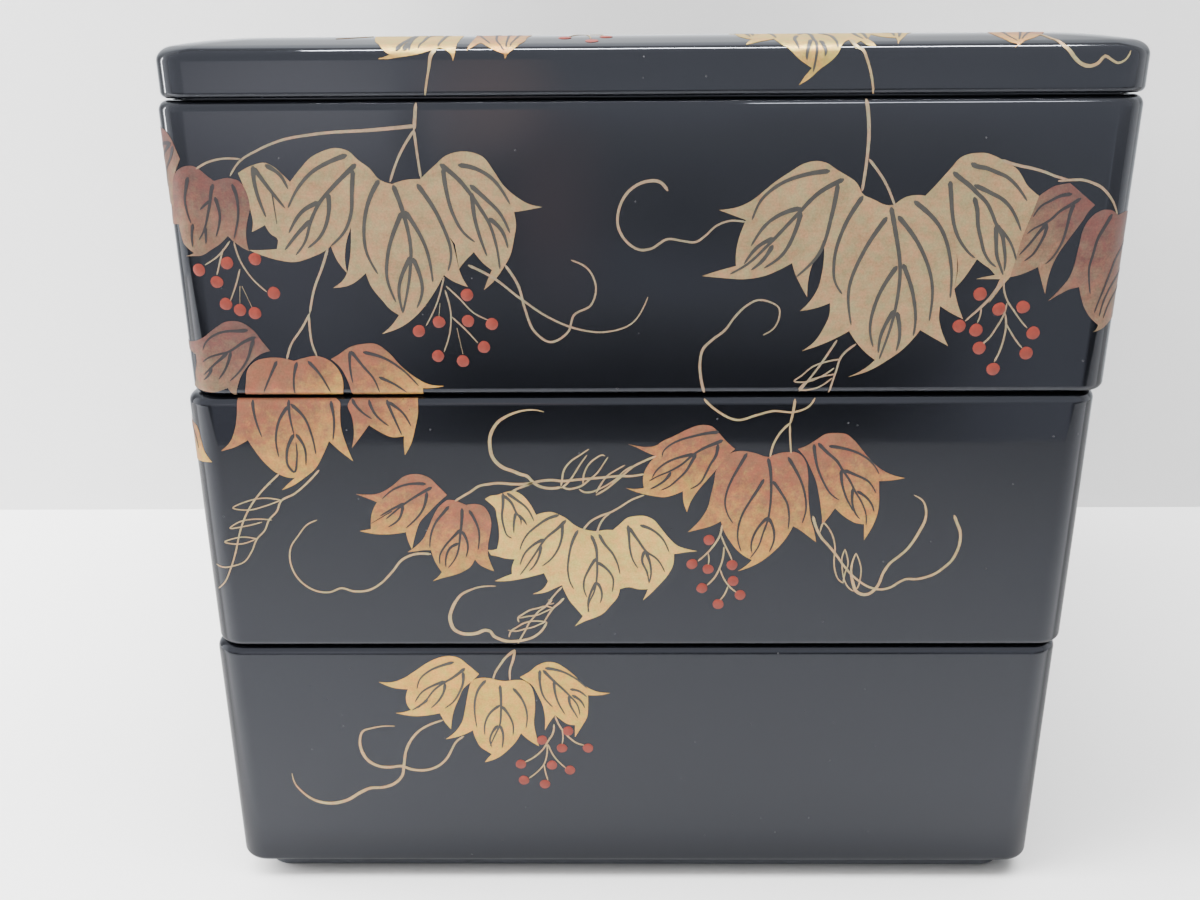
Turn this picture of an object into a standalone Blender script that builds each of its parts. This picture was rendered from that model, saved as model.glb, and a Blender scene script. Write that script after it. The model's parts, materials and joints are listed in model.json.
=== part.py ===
"""A lacquered food box: three square tiers stacked under one lid.

Metres, +Z up. The origin lies on the surface that the box stands on, in the
middle of the stack's outline, and the painted front faces -Y.

Every piece is a skin of rounded squares. A station stands for one square: how
far it lies inside the outer face, its height over the piece's lower edge, and
the radius of its corners. The stations run from the middle of the underside,
round the outside, to the last flat face on top.
"""

import math

import bpy
import bmesh

# The outside
TIER_SIDE = 0.1950          # width and depth of a tier over its walls
LID_SETBACK = 0.0003        # how far the lid's faces stand inside the tiers'
CORNER_RADIUS = 0.0070      # upright corners, seen from above
TIER_HEIGHT = 0.0598        # a tier, from its lower edge to its rim
LID_HEIGHT = 0.0111         # the lid, from its lower edge to its top

# Thicknesses
TIER_WALL = 0.0032
TIER_FLOOR = 0.0035
LID_TOP = 0.0033            # the lid's panel, at its middle

# The foot under each tier, which drops into the mouth of the tier below
FOOT_HEIGHT = 0.0051
FOOT_WIDTH = 0.0032         # across its flat underside and both edges
FOOT_CLEARANCE = 0.0018     # from the foot to the wall around it, when centred
FOOT_CORNER = 0.0060        # its upright corners, rounder than the mouth's
RING_EDGE = 0.0005          # small bevel along the feet and the lid's rim

# The lid's locating rim, which drops into the top tier's mouth
RIM_DEPTH = 0.0032
RIM_WIDTH = 0.0028
RIM_CLEARANCE = 0.0008

# Roundings of the profile
MOUTH_ROUND = 0.0021        # a tier's rim, outside
MOUTH_INNER_ROUND = 0.0005  # a tier's rim, inside
BASE_ROUND = 0.0015         # a tier's lower edge
FLOOR_FILLET = 0.0030       # inside, from wall to floor
LID_LOWER_ROUND = 0.0012
LID_SHOULDER = 0.0030       # the lid's upper edge
LID_FILLET = 0.0015         # under the lid, from border to panel
CROWN_RISE = 0.0013         # how much the lid swells inside its shoulder
CROWN_REACH = 0.0130        # and how far in from the shoulder it does so
CROWN_CORNER = 0.0120       # corner radius where the crown ends
TIGHTEST_CORNER = 0.0015

# How the stack sits
SEAT_GAP = 0.0003           # between faces that touch
SLIDES = {                  # towards +X, as shares of each piece's own play
    "middle_tier": 0.55,
    "top_tier": 1.0,
    "lid": 0.7,
}

# Facets
CORNER_STEPS = 5
ROUND_STEPS = 4
CROWN_STEPS = 5

# Black lacquer
LACQUER_COLOUR = (0.012, 0.012, 0.014, 1.0)
LACQUER_ROUGHNESS = 0.06


def offset_corner(inset):
    """Corner radius of a square drawn inside the outer face."""
    return max(CORNER_RADIUS - inset, TIGHTEST_CORNER)


def rounded_square(half, radius, z):
    """Points round a square, counter-clockwise from above."""
    points = []
    centre = half - radius
    for corner in range(4):
        turn = corner * math.pi / 2 + math.pi / 4
        cx = centre * math.copysign(1, math.cos(turn))
        cy = centre * math.copysign(1, math.sin(turn))
        for step in range(CORNER_STEPS + 1):
            angle = corner * math.pi / 2 + step / CORNER_STEPS * math.pi / 2
            x = cx + radius * math.cos(angle)
            y = cy + radius * math.sin(angle)
            points.append((x, y, z))
    return points


def arc(centre, radius, start, end, steps=ROUND_STEPS):
    """Stations along an arc, in degrees from straight inwards."""
    stations = []
    for step in range(steps + 1):
        angle = math.radians(start + (end - start) * step / steps)
        inset = centre[0] + radius * math.cos(angle)
        height = centre[1] + radius * math.sin(angle)
        stations.append((inset, height))
    return stations


def hanging_ring(outer, inner, bottom):
    """Stations down the inside of a foot or rim and up its outside."""
    return [
        (inner, bottom + RING_EDGE),
        (inner - RING_EDGE, bottom),
        (outer + RING_EDGE, bottom),
        (outer, bottom + RING_EDGE),
    ]


def cornered(stations, corner):
    """Add each square's corner radius, from a function of its inset."""
    return [(inset, height, corner(inset)) for inset, height in stations]


def foot_stations():
    outer = TIER_WALL + FOOT_CLEARANCE
    inner = outer + FOOT_WIDTH
    stations = [(inner, 0.0)]
    stations += hanging_ring(outer, inner, -FOOT_HEIGHT)
    stations += [(outer, 0.0)]
    return cornered(stations, lambda inset: max(FOOT_CORNER + outer - inset,
                                                TIGHTEST_CORNER))


def tier_stations():
    mouth = TIER_HEIGHT - MOUTH_ROUND
    inner_mouth = TIER_HEIGHT - MOUTH_INNER_ROUND
    stations = arc((BASE_ROUND, BASE_ROUND), BASE_ROUND, 270, 180)
    stations += arc((MOUTH_ROUND, mouth), MOUTH_ROUND, 180, 90)
    stations += arc((TIER_WALL - MOUTH_INNER_ROUND, inner_mouth),
                    MOUTH_INNER_ROUND, 90, 0, steps=2)
    stations += arc((TIER_WALL + FLOOR_FILLET, TIER_FLOOR + FLOOR_FILLET),
                    FLOOR_FILLET, 180, 270)
    return foot_stations() + cornered(stations, offset_corner)


def lid_underside():
    rim_outer = TIER_WALL - LID_SETBACK + RIM_CLEARANCE
    rim_inner = rim_outer + RIM_WIDTH
    ceiling = LID_HEIGHT - LID_TOP
    stations = arc((rim_inner + LID_FILLET, ceiling - LID_FILLET),
                   LID_FILLET, 90, 180)
    stations += hanging_ring(rim_outer, rim_inner, -RIM_DEPTH)
    stations += [(rim_outer, 0.0)]
    stations += arc((LID_LOWER_ROUND, LID_LOWER_ROUND), LID_LOWER_ROUND, 270, 180)
    return cornered(stations, offset_corner)


def lid_top():
    """The shoulder, then the crown, which starts at the shoulder's slope."""
    slope = math.degrees(math.atan(2 * CROWN_RISE / CROWN_REACH))
    side_top = (LID_HEIGHT - CROWN_RISE
                - LID_SHOULDER * math.cos(math.radians(slope)))
    stations = arc((LID_SHOULDER, side_top), LID_SHOULDER, 180, 90 + slope)
    start_inset, start_height = stations[-1]
    for step in range(1, CROWN_STEPS + 1):
        share = step / CROWN_STEPS
        inset = start_inset + CROWN_REACH * share
        height = start_height + CROWN_RISE * (1 - (1 - share) ** 2)
        stations.append((inset, height))
    reach = stations[-1][0]
    spread = CROWN_CORNER - CORNER_RADIUS
    return cornered(stations, lambda inset: CORNER_RADIUS + spread * inset / reach)


def skin(name, side, stations):
    """A closed mesh through the squares at these stations."""
    half = side / 2
    bm = bmesh.new()
    loops = []
    for inset, height, radius in stations:
        points = rounded_square(half - inset, radius, height)
        loops.append([bm.verts.new(point) for point in points])
    count = len(loops[0])
    bm.faces.new(reversed(loops[0]))
    bm.faces.new(loops[-1])
    for lower, upper in zip(loops, loops[1:]):
        for i in range(count):
            j = (i + 1) % count
            bm.faces.new((lower[i], lower[j], upper[j], upper[i]))
    mesh = bpy.data.meshes.new(name)
    bm.to_mesh(mesh)
    bm.free()
    mesh.shade_smooth()
    mesh.set_sharp_from_angle(angle=math.radians(40))
    return mesh


def lacquer(name):
    material = bpy.data.materials.new(name)
    material.use_nodes = True
    shader = material.node_tree.nodes["Principled BSDF"]
    shader.inputs["Base Color"].default_value = LACQUER_COLOUR
    shader.inputs["Roughness"].default_value = LACQUER_ROUGHNESS
    shader.inputs["Metallic"].default_value = 0.0
    return material


def add_piece(name, side, stations, place, stack):
    """One piece of the stack, standing with its lower edge at place."""
    mesh = skin(name, side, stations)
    mesh.materials.append(lacquer(name + " lacquer"))
    piece = bpy.data.objects.new(name, mesh)
    piece.location = place
    piece.parent = stack
    bpy.context.scene.collection.objects.link(piece)
    return piece


def sideways_places():
    """How far to +X each piece stands, with the tiers' outline centred."""
    tier_play = FOOT_CLEARANCE - SEAT_GAP
    lid_play = RIM_CLEARANCE - SEAT_GAP
    bottom = 0.0
    middle = bottom + SLIDES["middle_tier"] * tier_play
    top = middle + SLIDES["top_tier"] * tier_play
    lid = top + SLIDES["lid"] * lid_play
    centre = (min(bottom, middle, top) + max(bottom, middle, top)) / 2
    return [place - centre for place in (bottom, middle, top, lid)]


def build():
    for old in list(bpy.data.objects):
        bpy.data.objects.remove(old, do_unlink=True)
    stack = bpy.data.objects.new("food_box", None)
    bpy.context.scene.collection.objects.link(stack)
    aside = sideways_places()
    height = FOOT_HEIGHT
    for name, place in zip(("bottom_tier", "middle_tier", "top_tier"), aside):
        add_piece(name, TIER_SIDE, tier_stations(), (place, 0.0, height), stack)
        height += TIER_HEIGHT + SEAT_GAP
    lid_stations = lid_underside() + lid_top()
    lid_side = TIER_SIDE - 2 * LID_SETBACK
    add_piece("lid", lid_side, lid_stations, (aside[-1], 0.0, height), stack)


build()
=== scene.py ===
"""A lacquered food box: three tiers under a lid, with a vine painted down its front.

Metres, in the frame's own axes: the box stands on z = 0 and its painted front faces -Y.
The tiers and the lid are finer skins of the rounded squares that their solids are made of.
The painting is laid on them as the maker lays it, a thin coat of metal powder with the
veins drawn over it. Its outlines are pixels of the 1200 x 900 photograph, carried to the
wall that each pixel shows.
"""

import json
import math

import bmesh
import bpy
from bpy.props import FloatProperty, FloatVectorProperty, PointerProperty
from mathutils import Matrix, Vector, noise

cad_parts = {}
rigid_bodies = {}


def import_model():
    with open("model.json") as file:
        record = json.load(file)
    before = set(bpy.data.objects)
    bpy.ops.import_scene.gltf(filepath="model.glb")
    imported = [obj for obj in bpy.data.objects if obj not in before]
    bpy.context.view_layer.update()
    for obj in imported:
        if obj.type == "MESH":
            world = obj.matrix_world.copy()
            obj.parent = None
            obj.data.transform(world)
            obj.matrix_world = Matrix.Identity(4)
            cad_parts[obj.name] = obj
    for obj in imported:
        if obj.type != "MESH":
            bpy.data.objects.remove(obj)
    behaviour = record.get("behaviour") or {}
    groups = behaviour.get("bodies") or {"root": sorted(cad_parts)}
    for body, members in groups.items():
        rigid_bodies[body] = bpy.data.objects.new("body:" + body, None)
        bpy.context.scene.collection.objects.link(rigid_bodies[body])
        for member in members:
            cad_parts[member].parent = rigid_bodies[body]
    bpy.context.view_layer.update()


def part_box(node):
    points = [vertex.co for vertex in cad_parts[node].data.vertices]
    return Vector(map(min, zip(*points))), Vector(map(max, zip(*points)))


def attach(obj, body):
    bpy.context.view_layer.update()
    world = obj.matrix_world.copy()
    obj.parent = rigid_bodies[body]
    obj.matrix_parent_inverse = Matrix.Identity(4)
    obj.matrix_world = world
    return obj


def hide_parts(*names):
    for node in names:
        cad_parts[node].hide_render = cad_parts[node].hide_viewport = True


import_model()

bl_info = {
    "name": "Painted food box",
    "version": (1, 0, 0),
    "blender": (4, 5, 0),
    "location": "3D View > Sidebar > Food box",
    "description": "Builds the tiers, the lid, the painted vine and the studio",
    "category": "Object",
}

# The view: where the photograph was taken from, and how
EYE = Vector((-0.00601, -0.32917, 0.19675))
EYE_PAN = 0.696             # degrees, to the left
EYE_TILT = 19.889           # degrees, down
EYE_ROLL = -0.407
PHOTO_SIZE = (1200, 900)
FOCAL_PIXELS = 1149.9
SENSOR_WIDTH = 36.0
GAZE = (Matrix.Rotation(math.radians(EYE_PAN), 3, "Z")
        @ Matrix.Rotation(math.radians(90 - EYE_TILT), 3, "X")
        @ Matrix.Rotation(math.radians(EYE_ROLL), 3, "Z"))

# The tiers' profile
CORNER_RADIUS = 0.0070
TIER_HEIGHT = 0.0598
TIER_WALL = 0.0032
TIER_FLOOR = 0.0035
FOOT_HEIGHT = 0.0051
FOOT_WIDTH = 0.0032
FOOT_CLEARANCE = 0.0018
FOOT_CORNER = 0.0060
RING_EDGE = 0.0005
MOUTH_ROUND = 0.0021
MOUTH_INNER_ROUND = 0.0005
BASE_ROUND = 0.0015
FLOOR_FILLET = 0.0030
TIGHTEST_CORNER = 0.0015

# The lid's profile
LID_SETBACK = 0.0003
LID_HEIGHT = 0.0111
LID_TOP = 0.0033
RIM_DEPTH = 0.0032
RIM_WIDTH = 0.0028
RIM_CLEARANCE = 0.0008
LID_LOWER_ROUND = 0.0012
LID_SHOULDER = 0.0030
LID_FILLET = 0.0015
CROWN_RISE = 0.0013
CROWN_REACH = 0.0130
CROWN_CORNER = 0.0120
CROWN_SLOPE = math.atan(2 * CROWN_RISE / CROWN_REACH)
LID_SIDE_TOP = LID_HEIGHT - CROWN_RISE - LID_SHOULDER * math.cos(CROWN_SLOPE)
LID_CROWN_END = LID_SIDE_TOP + LID_SHOULDER * (math.pi / 2 - CROWN_SLOPE) + CROWN_REACH
PAST_THE_EDGE = 4.8         # on the lid's top, metres inwards to a metre over its edge

# Facets of the fine skins
CORNER_STEPS = 16
ROUND_STEPS = 10
CROWN_STEPS = 14

# The painting
PAINT_SUNK = 0.00004        # how far a coat reaches into the lacquer under it
LEAF_COAT = 0.00006         # and how far each coat stands proud
STROKE_COAT = 0.00009
VEIN_COAT = 0.00011
BERRY_COAT = 0.00022
COAT_STEP = 0.000004        # each line painted over another lies this much higher
STROKE_WEIGHT = 0.00088     # metres of width for a stroke's weight of 1
STROKE_STEP = 0.0006        # spacing of points along a painted line
BOLD_VEIN = (0.00102, 0.00080, 0.00068, 0.00040)
FINE_VEIN = (0.00085, 0.00056, 0.00046, 0.00028)

# What is painted, read off as pixels of the photograph, x and y in turn.
# A leaf: its piece, its paint, the runs of its outline, each from a sharp tip on, and its
# veins. Some also say where the copper starts to turn and where it has turned.
# A stroke: its piece, its weights from end to end, its points. Berries: radius in mm, middles.
# Leaves near the corners take a darker copper: painted shade, not a different paint.
LEAVES = {
    "gold_small_left": ("top_tier", "gold", [
        [238,173, 253,165, 266,163, 274,167, 283,175],
        [290,182],
        [294,184, 287,214],
        [281,247],
        [277,249, 277,238, 272,235],
        [265,225, 258,229],
        [252,232, 253,223, 250,208, 243,185],
    ], [
        [253,166, 254,180, 266,217],
        [253,167, 271,191, 285,208],
        [272,193, 277,224],
        [265,165, 280,175, 288,189],
    ]),
    "gold_left_outer": ("top_tier", "gold", [
        [392,184, 380,180, 369,168, 358,160, 348,151, 335,148, 323,151, 310,158, 300,169],
        [290,182, 283,214],
        [277,249, 264,250],
        [249,250, 264,256, 278,260, 295,262, 312,257, 323,252],
        [331,246, 337,260],
        [347,273, 345,260, 346,244],
        [351,227],
    ], [
        [347,155, 329,162, 312,172, 300,185, 288,208],
        [356,164, 331,189, 320,202, 312,218, 304,244, 296,255],
        [319,202, 304,210, 289,233],
        [328,193, 329,210, 320,237, 308,248],
        [311,220, 300,231, 285,250],
        [353,170, 352,191, 351,214, 346,229, 331,246],
    ]),
    "gold_left_centre": ("top_tier", "gold", [
        [392,184, 405,180],
        [420,179],
        [453,244, 456,256, 459,269, 462,277],
        [468,287, 451,280],
        [444,275, 432,296, 419,313, 403,326],
        [382,334, 392,325],
        [399,315, 390,309, 382,300, 371,286],
        [366,273, 350,285],
        [333,288, 344,279, 350,258, 351,242],
        [351,227],
    ], [
        [379,180, 371,195, 364,231, 366,250, 378,274],
        [393,185, 403,212, 411,252, 410,273, 403,313],
        [402,212, 388,254, 387,277, 396,302],
        [405,211, 426,248, 433,282],
        [417,184, 440,220, 451,258, 448,271],
        [411,256, 399,290, 403,313],
        [413,258, 422,294, 417,308],
    ]),
    "gold_left_inner": ("top_tier", "gold", [
        [420,179, 436,164, 445,156, 457,152, 470,152, 483,157, 493,170, 504,186, 514,195, 529,204],
        [542,207, 527,210],
        [514,212, 516,225, 514,239, 510,256, 504,267, 493,282],
        [484,290, 488,279],
        [492,270, 483,263],
        [474,252, 466,260],
        [459,269, 457,256],
        [455,244, 439,222, 428,200],
    ], [
        [443,168, 446,189, 453,214, 464,233, 475,242],
        [440,164, 457,178, 480,208, 489,223, 496,244, 500,269],
        [458,165, 474,168, 489,176, 510,204],
        [470,185, 487,200, 499,212, 510,233],
        [472,193, 474,214, 487,256],
        [489,218, 502,231, 508,248],
    ]),
    "gold_right_outer": ("top_tier", "gold", [
        [862,193, 856,182, 846,175, 836,169, 827,163, 816,161, 803,164, 790,172, 775,182, 764,191,
         754,199, 738,207],
        [719,210],
        [746,220, 739,238, 736,253],
        [736,266, 721,270],
        [702,276, 723,278, 746,279, 764,276, 779,270],
        [792,263, 796,276, 801,286],
        [807,297, 808,282, 811,268, 818,253],
        [823,240],
        [826,243],
        [865,196],
    ], [
        [830,171, 808,174, 777,186, 762,199, 752,220],
        [844,179, 820,192, 794,218, 768,245, 746,265, 730,274],
        [801,208, 786,212, 770,221, 751,246],
        [801,212, 796,229, 781,256, 764,268],
        [774,238, 760,245, 744,264],
        [773,245, 760,263, 751,270],
        [838,184, 832,214, 818,255, 796,277],
    ]),
    "gold_right_centre": ("top_tier", "gold", [
        [894,205, 906,197, 918,195],
        [927,196],
        [952,234, 956,251, 957,270],
        [954,288, 958,305],
        [963,319, 951,313],
        [940,306, 939,319, 942,332],
        [948,346, 932,337],
        [920,330, 912,340, 903,349, 886,361, 868,371],
        [848,377, 864,369],
        [875,360, 866,353, 856,342],
        [849,331, 836,338, 820,345],
        [802,351, 814,342, 823,329, 829,316],
        [830,303, 816,308],
        [800,311, 810,301, 818,288, 822,273, 824,258],
        [824,242],
        [863,195, 875,200, 886,205],
    ], [
        [863,196, 845,225, 834,262, 835,282, 842,294],
        [891,207, 895,229, 900,270, 895,310, 879,359],
        [887,217, 864,251, 849,288, 851,325],
        [898,216, 919,245, 932,284, 929,321],
        [914,201, 940,227, 951,266, 950,298],
        [897,266, 877,299, 870,332, 873,347],
        [903,264, 913,295, 915,325, 913,336],
        [894,310, 880,338, 878,353],
        [897,312, 899,340, 896,351],
    ]),
    "copper_low_centre_upper": ("top_tier", "copper", [
        [246,394, 246,383, 248,369, 256,361, 267,358, 281,358],
        [294,361, 304,358, 317,356, 330,361, 338,369, 343,381],
        [344,394],
    ], [
        [277,361, 270,377, 264,392],
        [297,362, 294,377, 296,394],
        [308,361, 319,373, 331,392],
    ]),
    "copper_low_right_upper": ("top_tier", "copper", [
        [331,359, 338,355, 350,347, 363,344, 376,344, 388,352, 401,366, 415,377, 428,384],
        [444,386, 432,388],
        [423,388],
        [424,394],
        [354,394, 348,381, 340,367],
    ], [
        [350,351, 350,366, 353,383],
        [351,351, 363,366, 374,379, 380,392],
        [363,352, 384,358, 399,367, 419,386],
        [379,377, 396,385, 407,392],
    ]),
    "copper_low_centre_lower": ("middle_tier", "copper", [
        [238,398, 237,413, 235,429, 230,442],
        [221,451, 235,447],
        [248,440, 256,452, 265,463, 277,473, 286,477],
        [295,478, 288,484],
        [282,490, 294,485, 304,478, 315,469, 323,455],
        [329,441, 340,451],
        [353,461, 346,444, 341,427, 340,410, 340,402],
        [336,398],
    ], [
        [253,400, 255,417, 262,437],
        [289,400, 290,417, 294,434],
        [288,406, 279,421, 276,440, 279,457],
        [291,404, 304,417, 312,436, 316,454],
        [331,401, 334,419, 333,440],
        [294,434, 287,452, 289,467, 294,472, 297,459, 296,442],
        [296,434, 304,446, 306,465],
    ]),
    "copper_low_right_lower": ("middle_tier", "copper", [
        [352,398, 348,404, 352,417, 354,432],
        [352,448, 361,436],
        [369,425, 380,432, 392,437],
        [404,436, 404,446],
        [405,455, 411,444, 415,429, 418,413],
        [418,398],
    ], [
        [352,399, 361,411, 372,419],
        [369,400, 376,415, 389,426],
        [387,400, 392,413, 402,435],
        [389,402, 403,413, 411,426],
        [403,399, 410,410],
    ]),
    "copper_middle_left": ("middle_tier", "copper", [
        [447,495, 438,486, 428,477, 416,474, 405,476, 392,486, 380,493],
        [356,494, 367,498],
        [377,502, 372,513],
        [371,529],
        [360,531, 376,534, 392,534],
        [406,532, 408,540],
        [412,549, 415,536, 420,522, 430,511, 440,501],
    ], [
        [426,484, 409,484, 394,489, 382,499],
        [432,487, 407,502, 386,519],
        [427,492, 424,507, 406,528],
        [405,503, 392,509, 380,516],
        [403,505, 399,519, 388,527],
        [392,511, 370,524],
    ]),
    "gold_right_inner": ("top_tier", "gold", [
        [925,196, 934,187, 943,177, 952,167, 960,158, 969,154, 977,153, 986,153, 995,156, 1003,160,
         1010,164, 1017,169, 1022,176, 1027,185, 1033,191],
        [1039,196, 1031,216, 1024,233, 1019,247, 1014,264],
        [1010,277, 1003,285, 996,294],
        [989,303, 993,294],
        [1000,279, 986,279],
        [976,279, 984,277],
        [995,275, 990,269, 983,264],
        [977,259, 971,268, 964,278],
        [954,289, 956,280, 958,268, 957,257, 955,247],
        [951,236, 946,227, 941,217, 932,205],
    ], [
        [971,163, 976,166, 986,168, 996,172, 1007,177, 1015,184, 1022,193, 1027,201],
        [953,172, 960,178, 969,185, 977,193, 986,202, 993,216, 996,224, 1003,232, 1010,242, 1014,252,
         1016,260],
        [974,185, 983,189, 993,194, 1002,199, 1010,207, 1017,220, 1021,231],
        [950,181, 951,195, 952,211, 954,225, 958,237, 964,247, 971,255, 975,258],
        [974,197, 977,209, 978,226, 981,240, 984,252, 990,262, 996,267],
        [996,225, 996,240, 997,257, 1000,266, 1003,275],
        [996,224, 1002,235, 1004,247, 1005,261, 1004,271],
    ]),
    "copper_right_small": ("top_tier", "dark_copper", [
        [1039,196, 1046,191, 1055,186, 1064,184],
        [1070,183, 1077,189, 1086,197],
        [1095,205, 1089,211, 1083,220, 1074,232, 1065,244, 1058,254, 1052,266, 1048,278],
        [1045,294, 1042,283, 1040,275],
        [1038,267, 1027,272, 1019,275],
        [1010,277, 1013,264, 1017,251, 1023,233, 1030,216],
    ], [
        [1072,194, 1060,196, 1050,201, 1041,206, 1036,212, 1033,217],
        [1081,198, 1072,204, 1060,211, 1050,220, 1041,225, 1033,229, 1027,234],
        [1047,223, 1039,232, 1031,242, 1019,255],
        [1047,224, 1045,233, 1039,245, 1033,254, 1024,261],
        [1074,203, 1070,214, 1067,226, 1062,242, 1055,254, 1050,260, 1045,264],
    ], [1083,199, 1033,247]),
    "copper_right_edge": ("top_tier", "dark_copper", [
        [1118,215, 1111,210, 1103,210, 1095,214, 1088,221, 1083,230, 1080,242, 1077,254, 1074,266,
         1069,278, 1060,289],
        [1048,301, 1060,294, 1070,289],
        [1079,287, 1081,297, 1084,307, 1089,316],
        [1098,325, 1097,328],
        [1093,332, 1101,329, 1109,321, 1117,313, 1126,300],
        [1132,292, 1141,295],
        [1153,302, 1150,285, 1150,268, 1151,251, 1150,233, 1143,220, 1134,213, 1126,211],
    ], [
        [1112,214, 1105,226, 1098,238, 1093,254, 1089,268, 1089,282, 1090,294],
        [1124,240, 1116,257, 1109,275, 1103,290, 1098,302, 1094,313],
        [1120,268, 1111,285, 1103,302, 1099,316],
        [1118,285, 1110,300, 1103,318],
        [1132,226, 1139,244, 1139,264, 1136,282],
    ]),
    "copper_middle_centre": ("middle_tier", "copper", [
        [447,500, 453,500, 459,502],
        [466,505, 475,504, 483,506, 488,512, 491,521, 490,534, 488,545],
        [488,556, 491,564],
        [494,571, 486,568, 479,564],
        [475,559, 471,566, 462,572, 450,576, 442,578],
        [433,581, 438,577],
        [442,572, 436,563, 433,556],
        [431,550, 424,550, 417,551],
        [408,552, 415,547, 423,539, 428,529, 433,517, 438,508],
    ], [
        [449,506, 444,512, 436,522, 432,531, 430,543, 430,548],
        [462,508, 462,518, 461,529, 460,538, 459,547, 456,557, 448,568],
        [461,529, 453,537, 445,546, 440,555, 440,564],
        [459,543, 450,548, 446,558, 446,567],
        [462,531, 466,538, 468,547, 466,557],
        [469,510, 475,520, 479,531, 479,543, 478,550],
    ]),
    "gold_middle_small": ("middle_tier", "gold", [
        [485,499, 490,496, 497,495, 506,492, 514,491, 522,495, 530,504],
        [536,515, 526,534],
        [517,559, 504,558, 497,556],
        [491,555],
        [488,550, 493,550],
        [497,549, 499,540, 499,529, 497,517, 495,508, 491,504],
    ], [
        [503,493, 503,505, 502,516, 504,527, 508,536, 512,538],
        [503,495, 511,502, 516,512, 521,520, 521,525],
        [507,493, 517,500, 526,507, 534,521],
        [516,512, 514,522, 514,533],
        [517,514, 524,520, 527,525],
    ]),
    "gold_middle_left": ("middle_tier", "gold", [
        [580,528, 573,524, 567,519, 560,515, 551,512, 542,513, 536,515, 530,520, 524,529, 520,538,
         516,549, 515,558, 512,567],
        [512,574, 504,577],
        [495,581, 506,581, 520,579, 533,576],
        [544,573],
        [548,581, 544,588],
        [533,594, 546,592, 555,588],
        [562,585, 561,576, 561,560, 564,549, 570,538],
    ], [
        [559,515, 549,518, 538,525, 526,536, 521,546, 520,550],
        [566,520, 558,528, 546,538, 535,554, 526,567, 520,575],
        [544,539, 533,545, 525,553, 520,565],
        [541,545, 539,556, 533,567, 529,571],
        [562,522, 562,536, 558,549, 550,560, 542,566],
    ]),
    "gold_middle_centre": ("middle_tier", "gold", [
        [580,528, 587,530, 593,531, 598,531, 604,530],
        [613,530, 617,538, 620,554, 621,567, 621,576],
        [620,588, 618,596, 611,605, 602,614, 596,617, 585,621],
        [575,626, 580,620],
        [583,616, 575,607, 570,601, 565,592],
        [562,585, 561,576, 561,560, 564,549, 570,538],
    ], [
        [578,530, 573,540, 569,556, 568,572, 571,584, 574,589],
        [591,535, 596,547, 597,560, 597,576, 594,592, 589,603, 588,612],
        [596,558, 589,569, 584,581, 584,589, 587,597],
        [597,581, 591,592, 588,603, 589,612],
        [597,562, 607,569, 613,578, 613,587, 612,592],
        [597,582, 601,589, 602,596, 600,603],
        [599,534, 604,543, 613,554, 618,565, 620,574],
    ]),
    "gold_middle_right": ("middle_tier", "gold", [
        [613,530, 620,524, 627,518, 636,516, 645,516, 654,520, 660,527, 669,538, 678,546, 687,549],
        [697,551, 687,552],
        [674,554, 673,565, 667,576, 658,586, 649,595],
        [643,600, 646,594],
        [648,589, 638,589, 629,587],
        [620,589, 621,576, 621,567, 620,554, 617,538],
    ], [
        [628,525, 629,536, 630,549, 633,560, 638,568],
        [629,527, 638,540, 647,552, 656,558, 665,572],
        [640,525, 651,529, 662,538, 669,552],
        [645,550, 642,560, 647,572, 649,583],
        [646,552, 650,563, 651,574, 649,583],
    ]),
    "copper_upper_left": ("middle_tier", "copper", [
        [628,444, 637,446, 646,447, 655,446, 663,441, 674,436, 686,430, 696,426, 706,425, 713,427,
         719,433, 726,441],
        [735,449, 728,455, 722,462, 714,472, 706,481, 696,493, 690,503],
        [687,512, 684,504],
        [683,491, 676,494, 664,497, 654,496, 640,493],
        [626,488, 635,489],
        [644,488, 643,481, 644,473, 648,465],
        [656,456, 646,452, 636,447],
    ], [
        [719,432, 708,433, 694,436, 680,440, 670,445, 663,452, 662,457],
        [723,440, 716,443, 706,447, 694,454, 682,464, 670,471, 658,476, 649,481],
        [694,454, 684,456, 674,459, 664,464, 656,471, 652,478],
        [696,454, 692,461, 686,471, 678,479, 668,487, 661,490],
        [718,444, 716,455, 710,465, 706,473, 700,483, 690,489],
        [671,472, 666,479, 658,485, 650,489],
    ]),
    "copper_upper_centre": ("middle_tier", "copper", [
        [769,457, 763,456, 758,454, 750,452, 742,451, 734,452, 726,456, 720,463, 716,471, 714,483,
         711,495, 708,507, 700,520],
        [688,532, 700,529, 711,526],
        [721,521, 724,531, 730,541, 738,551, 746,557],
        [752,560, 748,564],
        [738,571, 750,567, 760,562, 772,553, 782,543, 788,535],
        [793,526, 800,530, 808,536],
        [816,542, 814,531, 811,521, 809,507, 808,491, 808,475, 806,463, 801,455, 794,452, 790,452,
         780,453],
    ], [
        [747,453, 740,465, 732,479, 727,491, 725,503, 728,515, 733,523],
        [768,458, 770,467, 771,479, 771,495, 770,507, 768,519, 763,533, 758,547, 750,558],
        [764,479, 758,489, 750,501, 742,515, 738,529, 738,541, 741,551],
        [773,481, 780,491, 787,503, 789,515, 788,529],
        [788,457, 794,467, 801,481, 805,495, 806,509, 802,523],
        [768,517, 760,525, 753,537, 751,547, 752,553],
        [768,517, 773,527, 774,539, 769,552],
    ]),
    "copper_upper_right": ("middle_tier", "copper", [
        [798,449, 806,446, 816,440, 826,434, 836,433, 846,434, 853,439, 860,447, 868,457, 878,467,
         890,474],
        [905,478, 894,480],
        [879,481, 879,491, 879,503, 877,515, 872,527],
        [864,540, 864,533],
        [864,524, 856,523, 848,519, 840,513],
        [835,508, 830,515, 824,523],
        [820,533, 822,523, 821,509, 819,495, 816,481, 811,469, 805,457],
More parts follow.
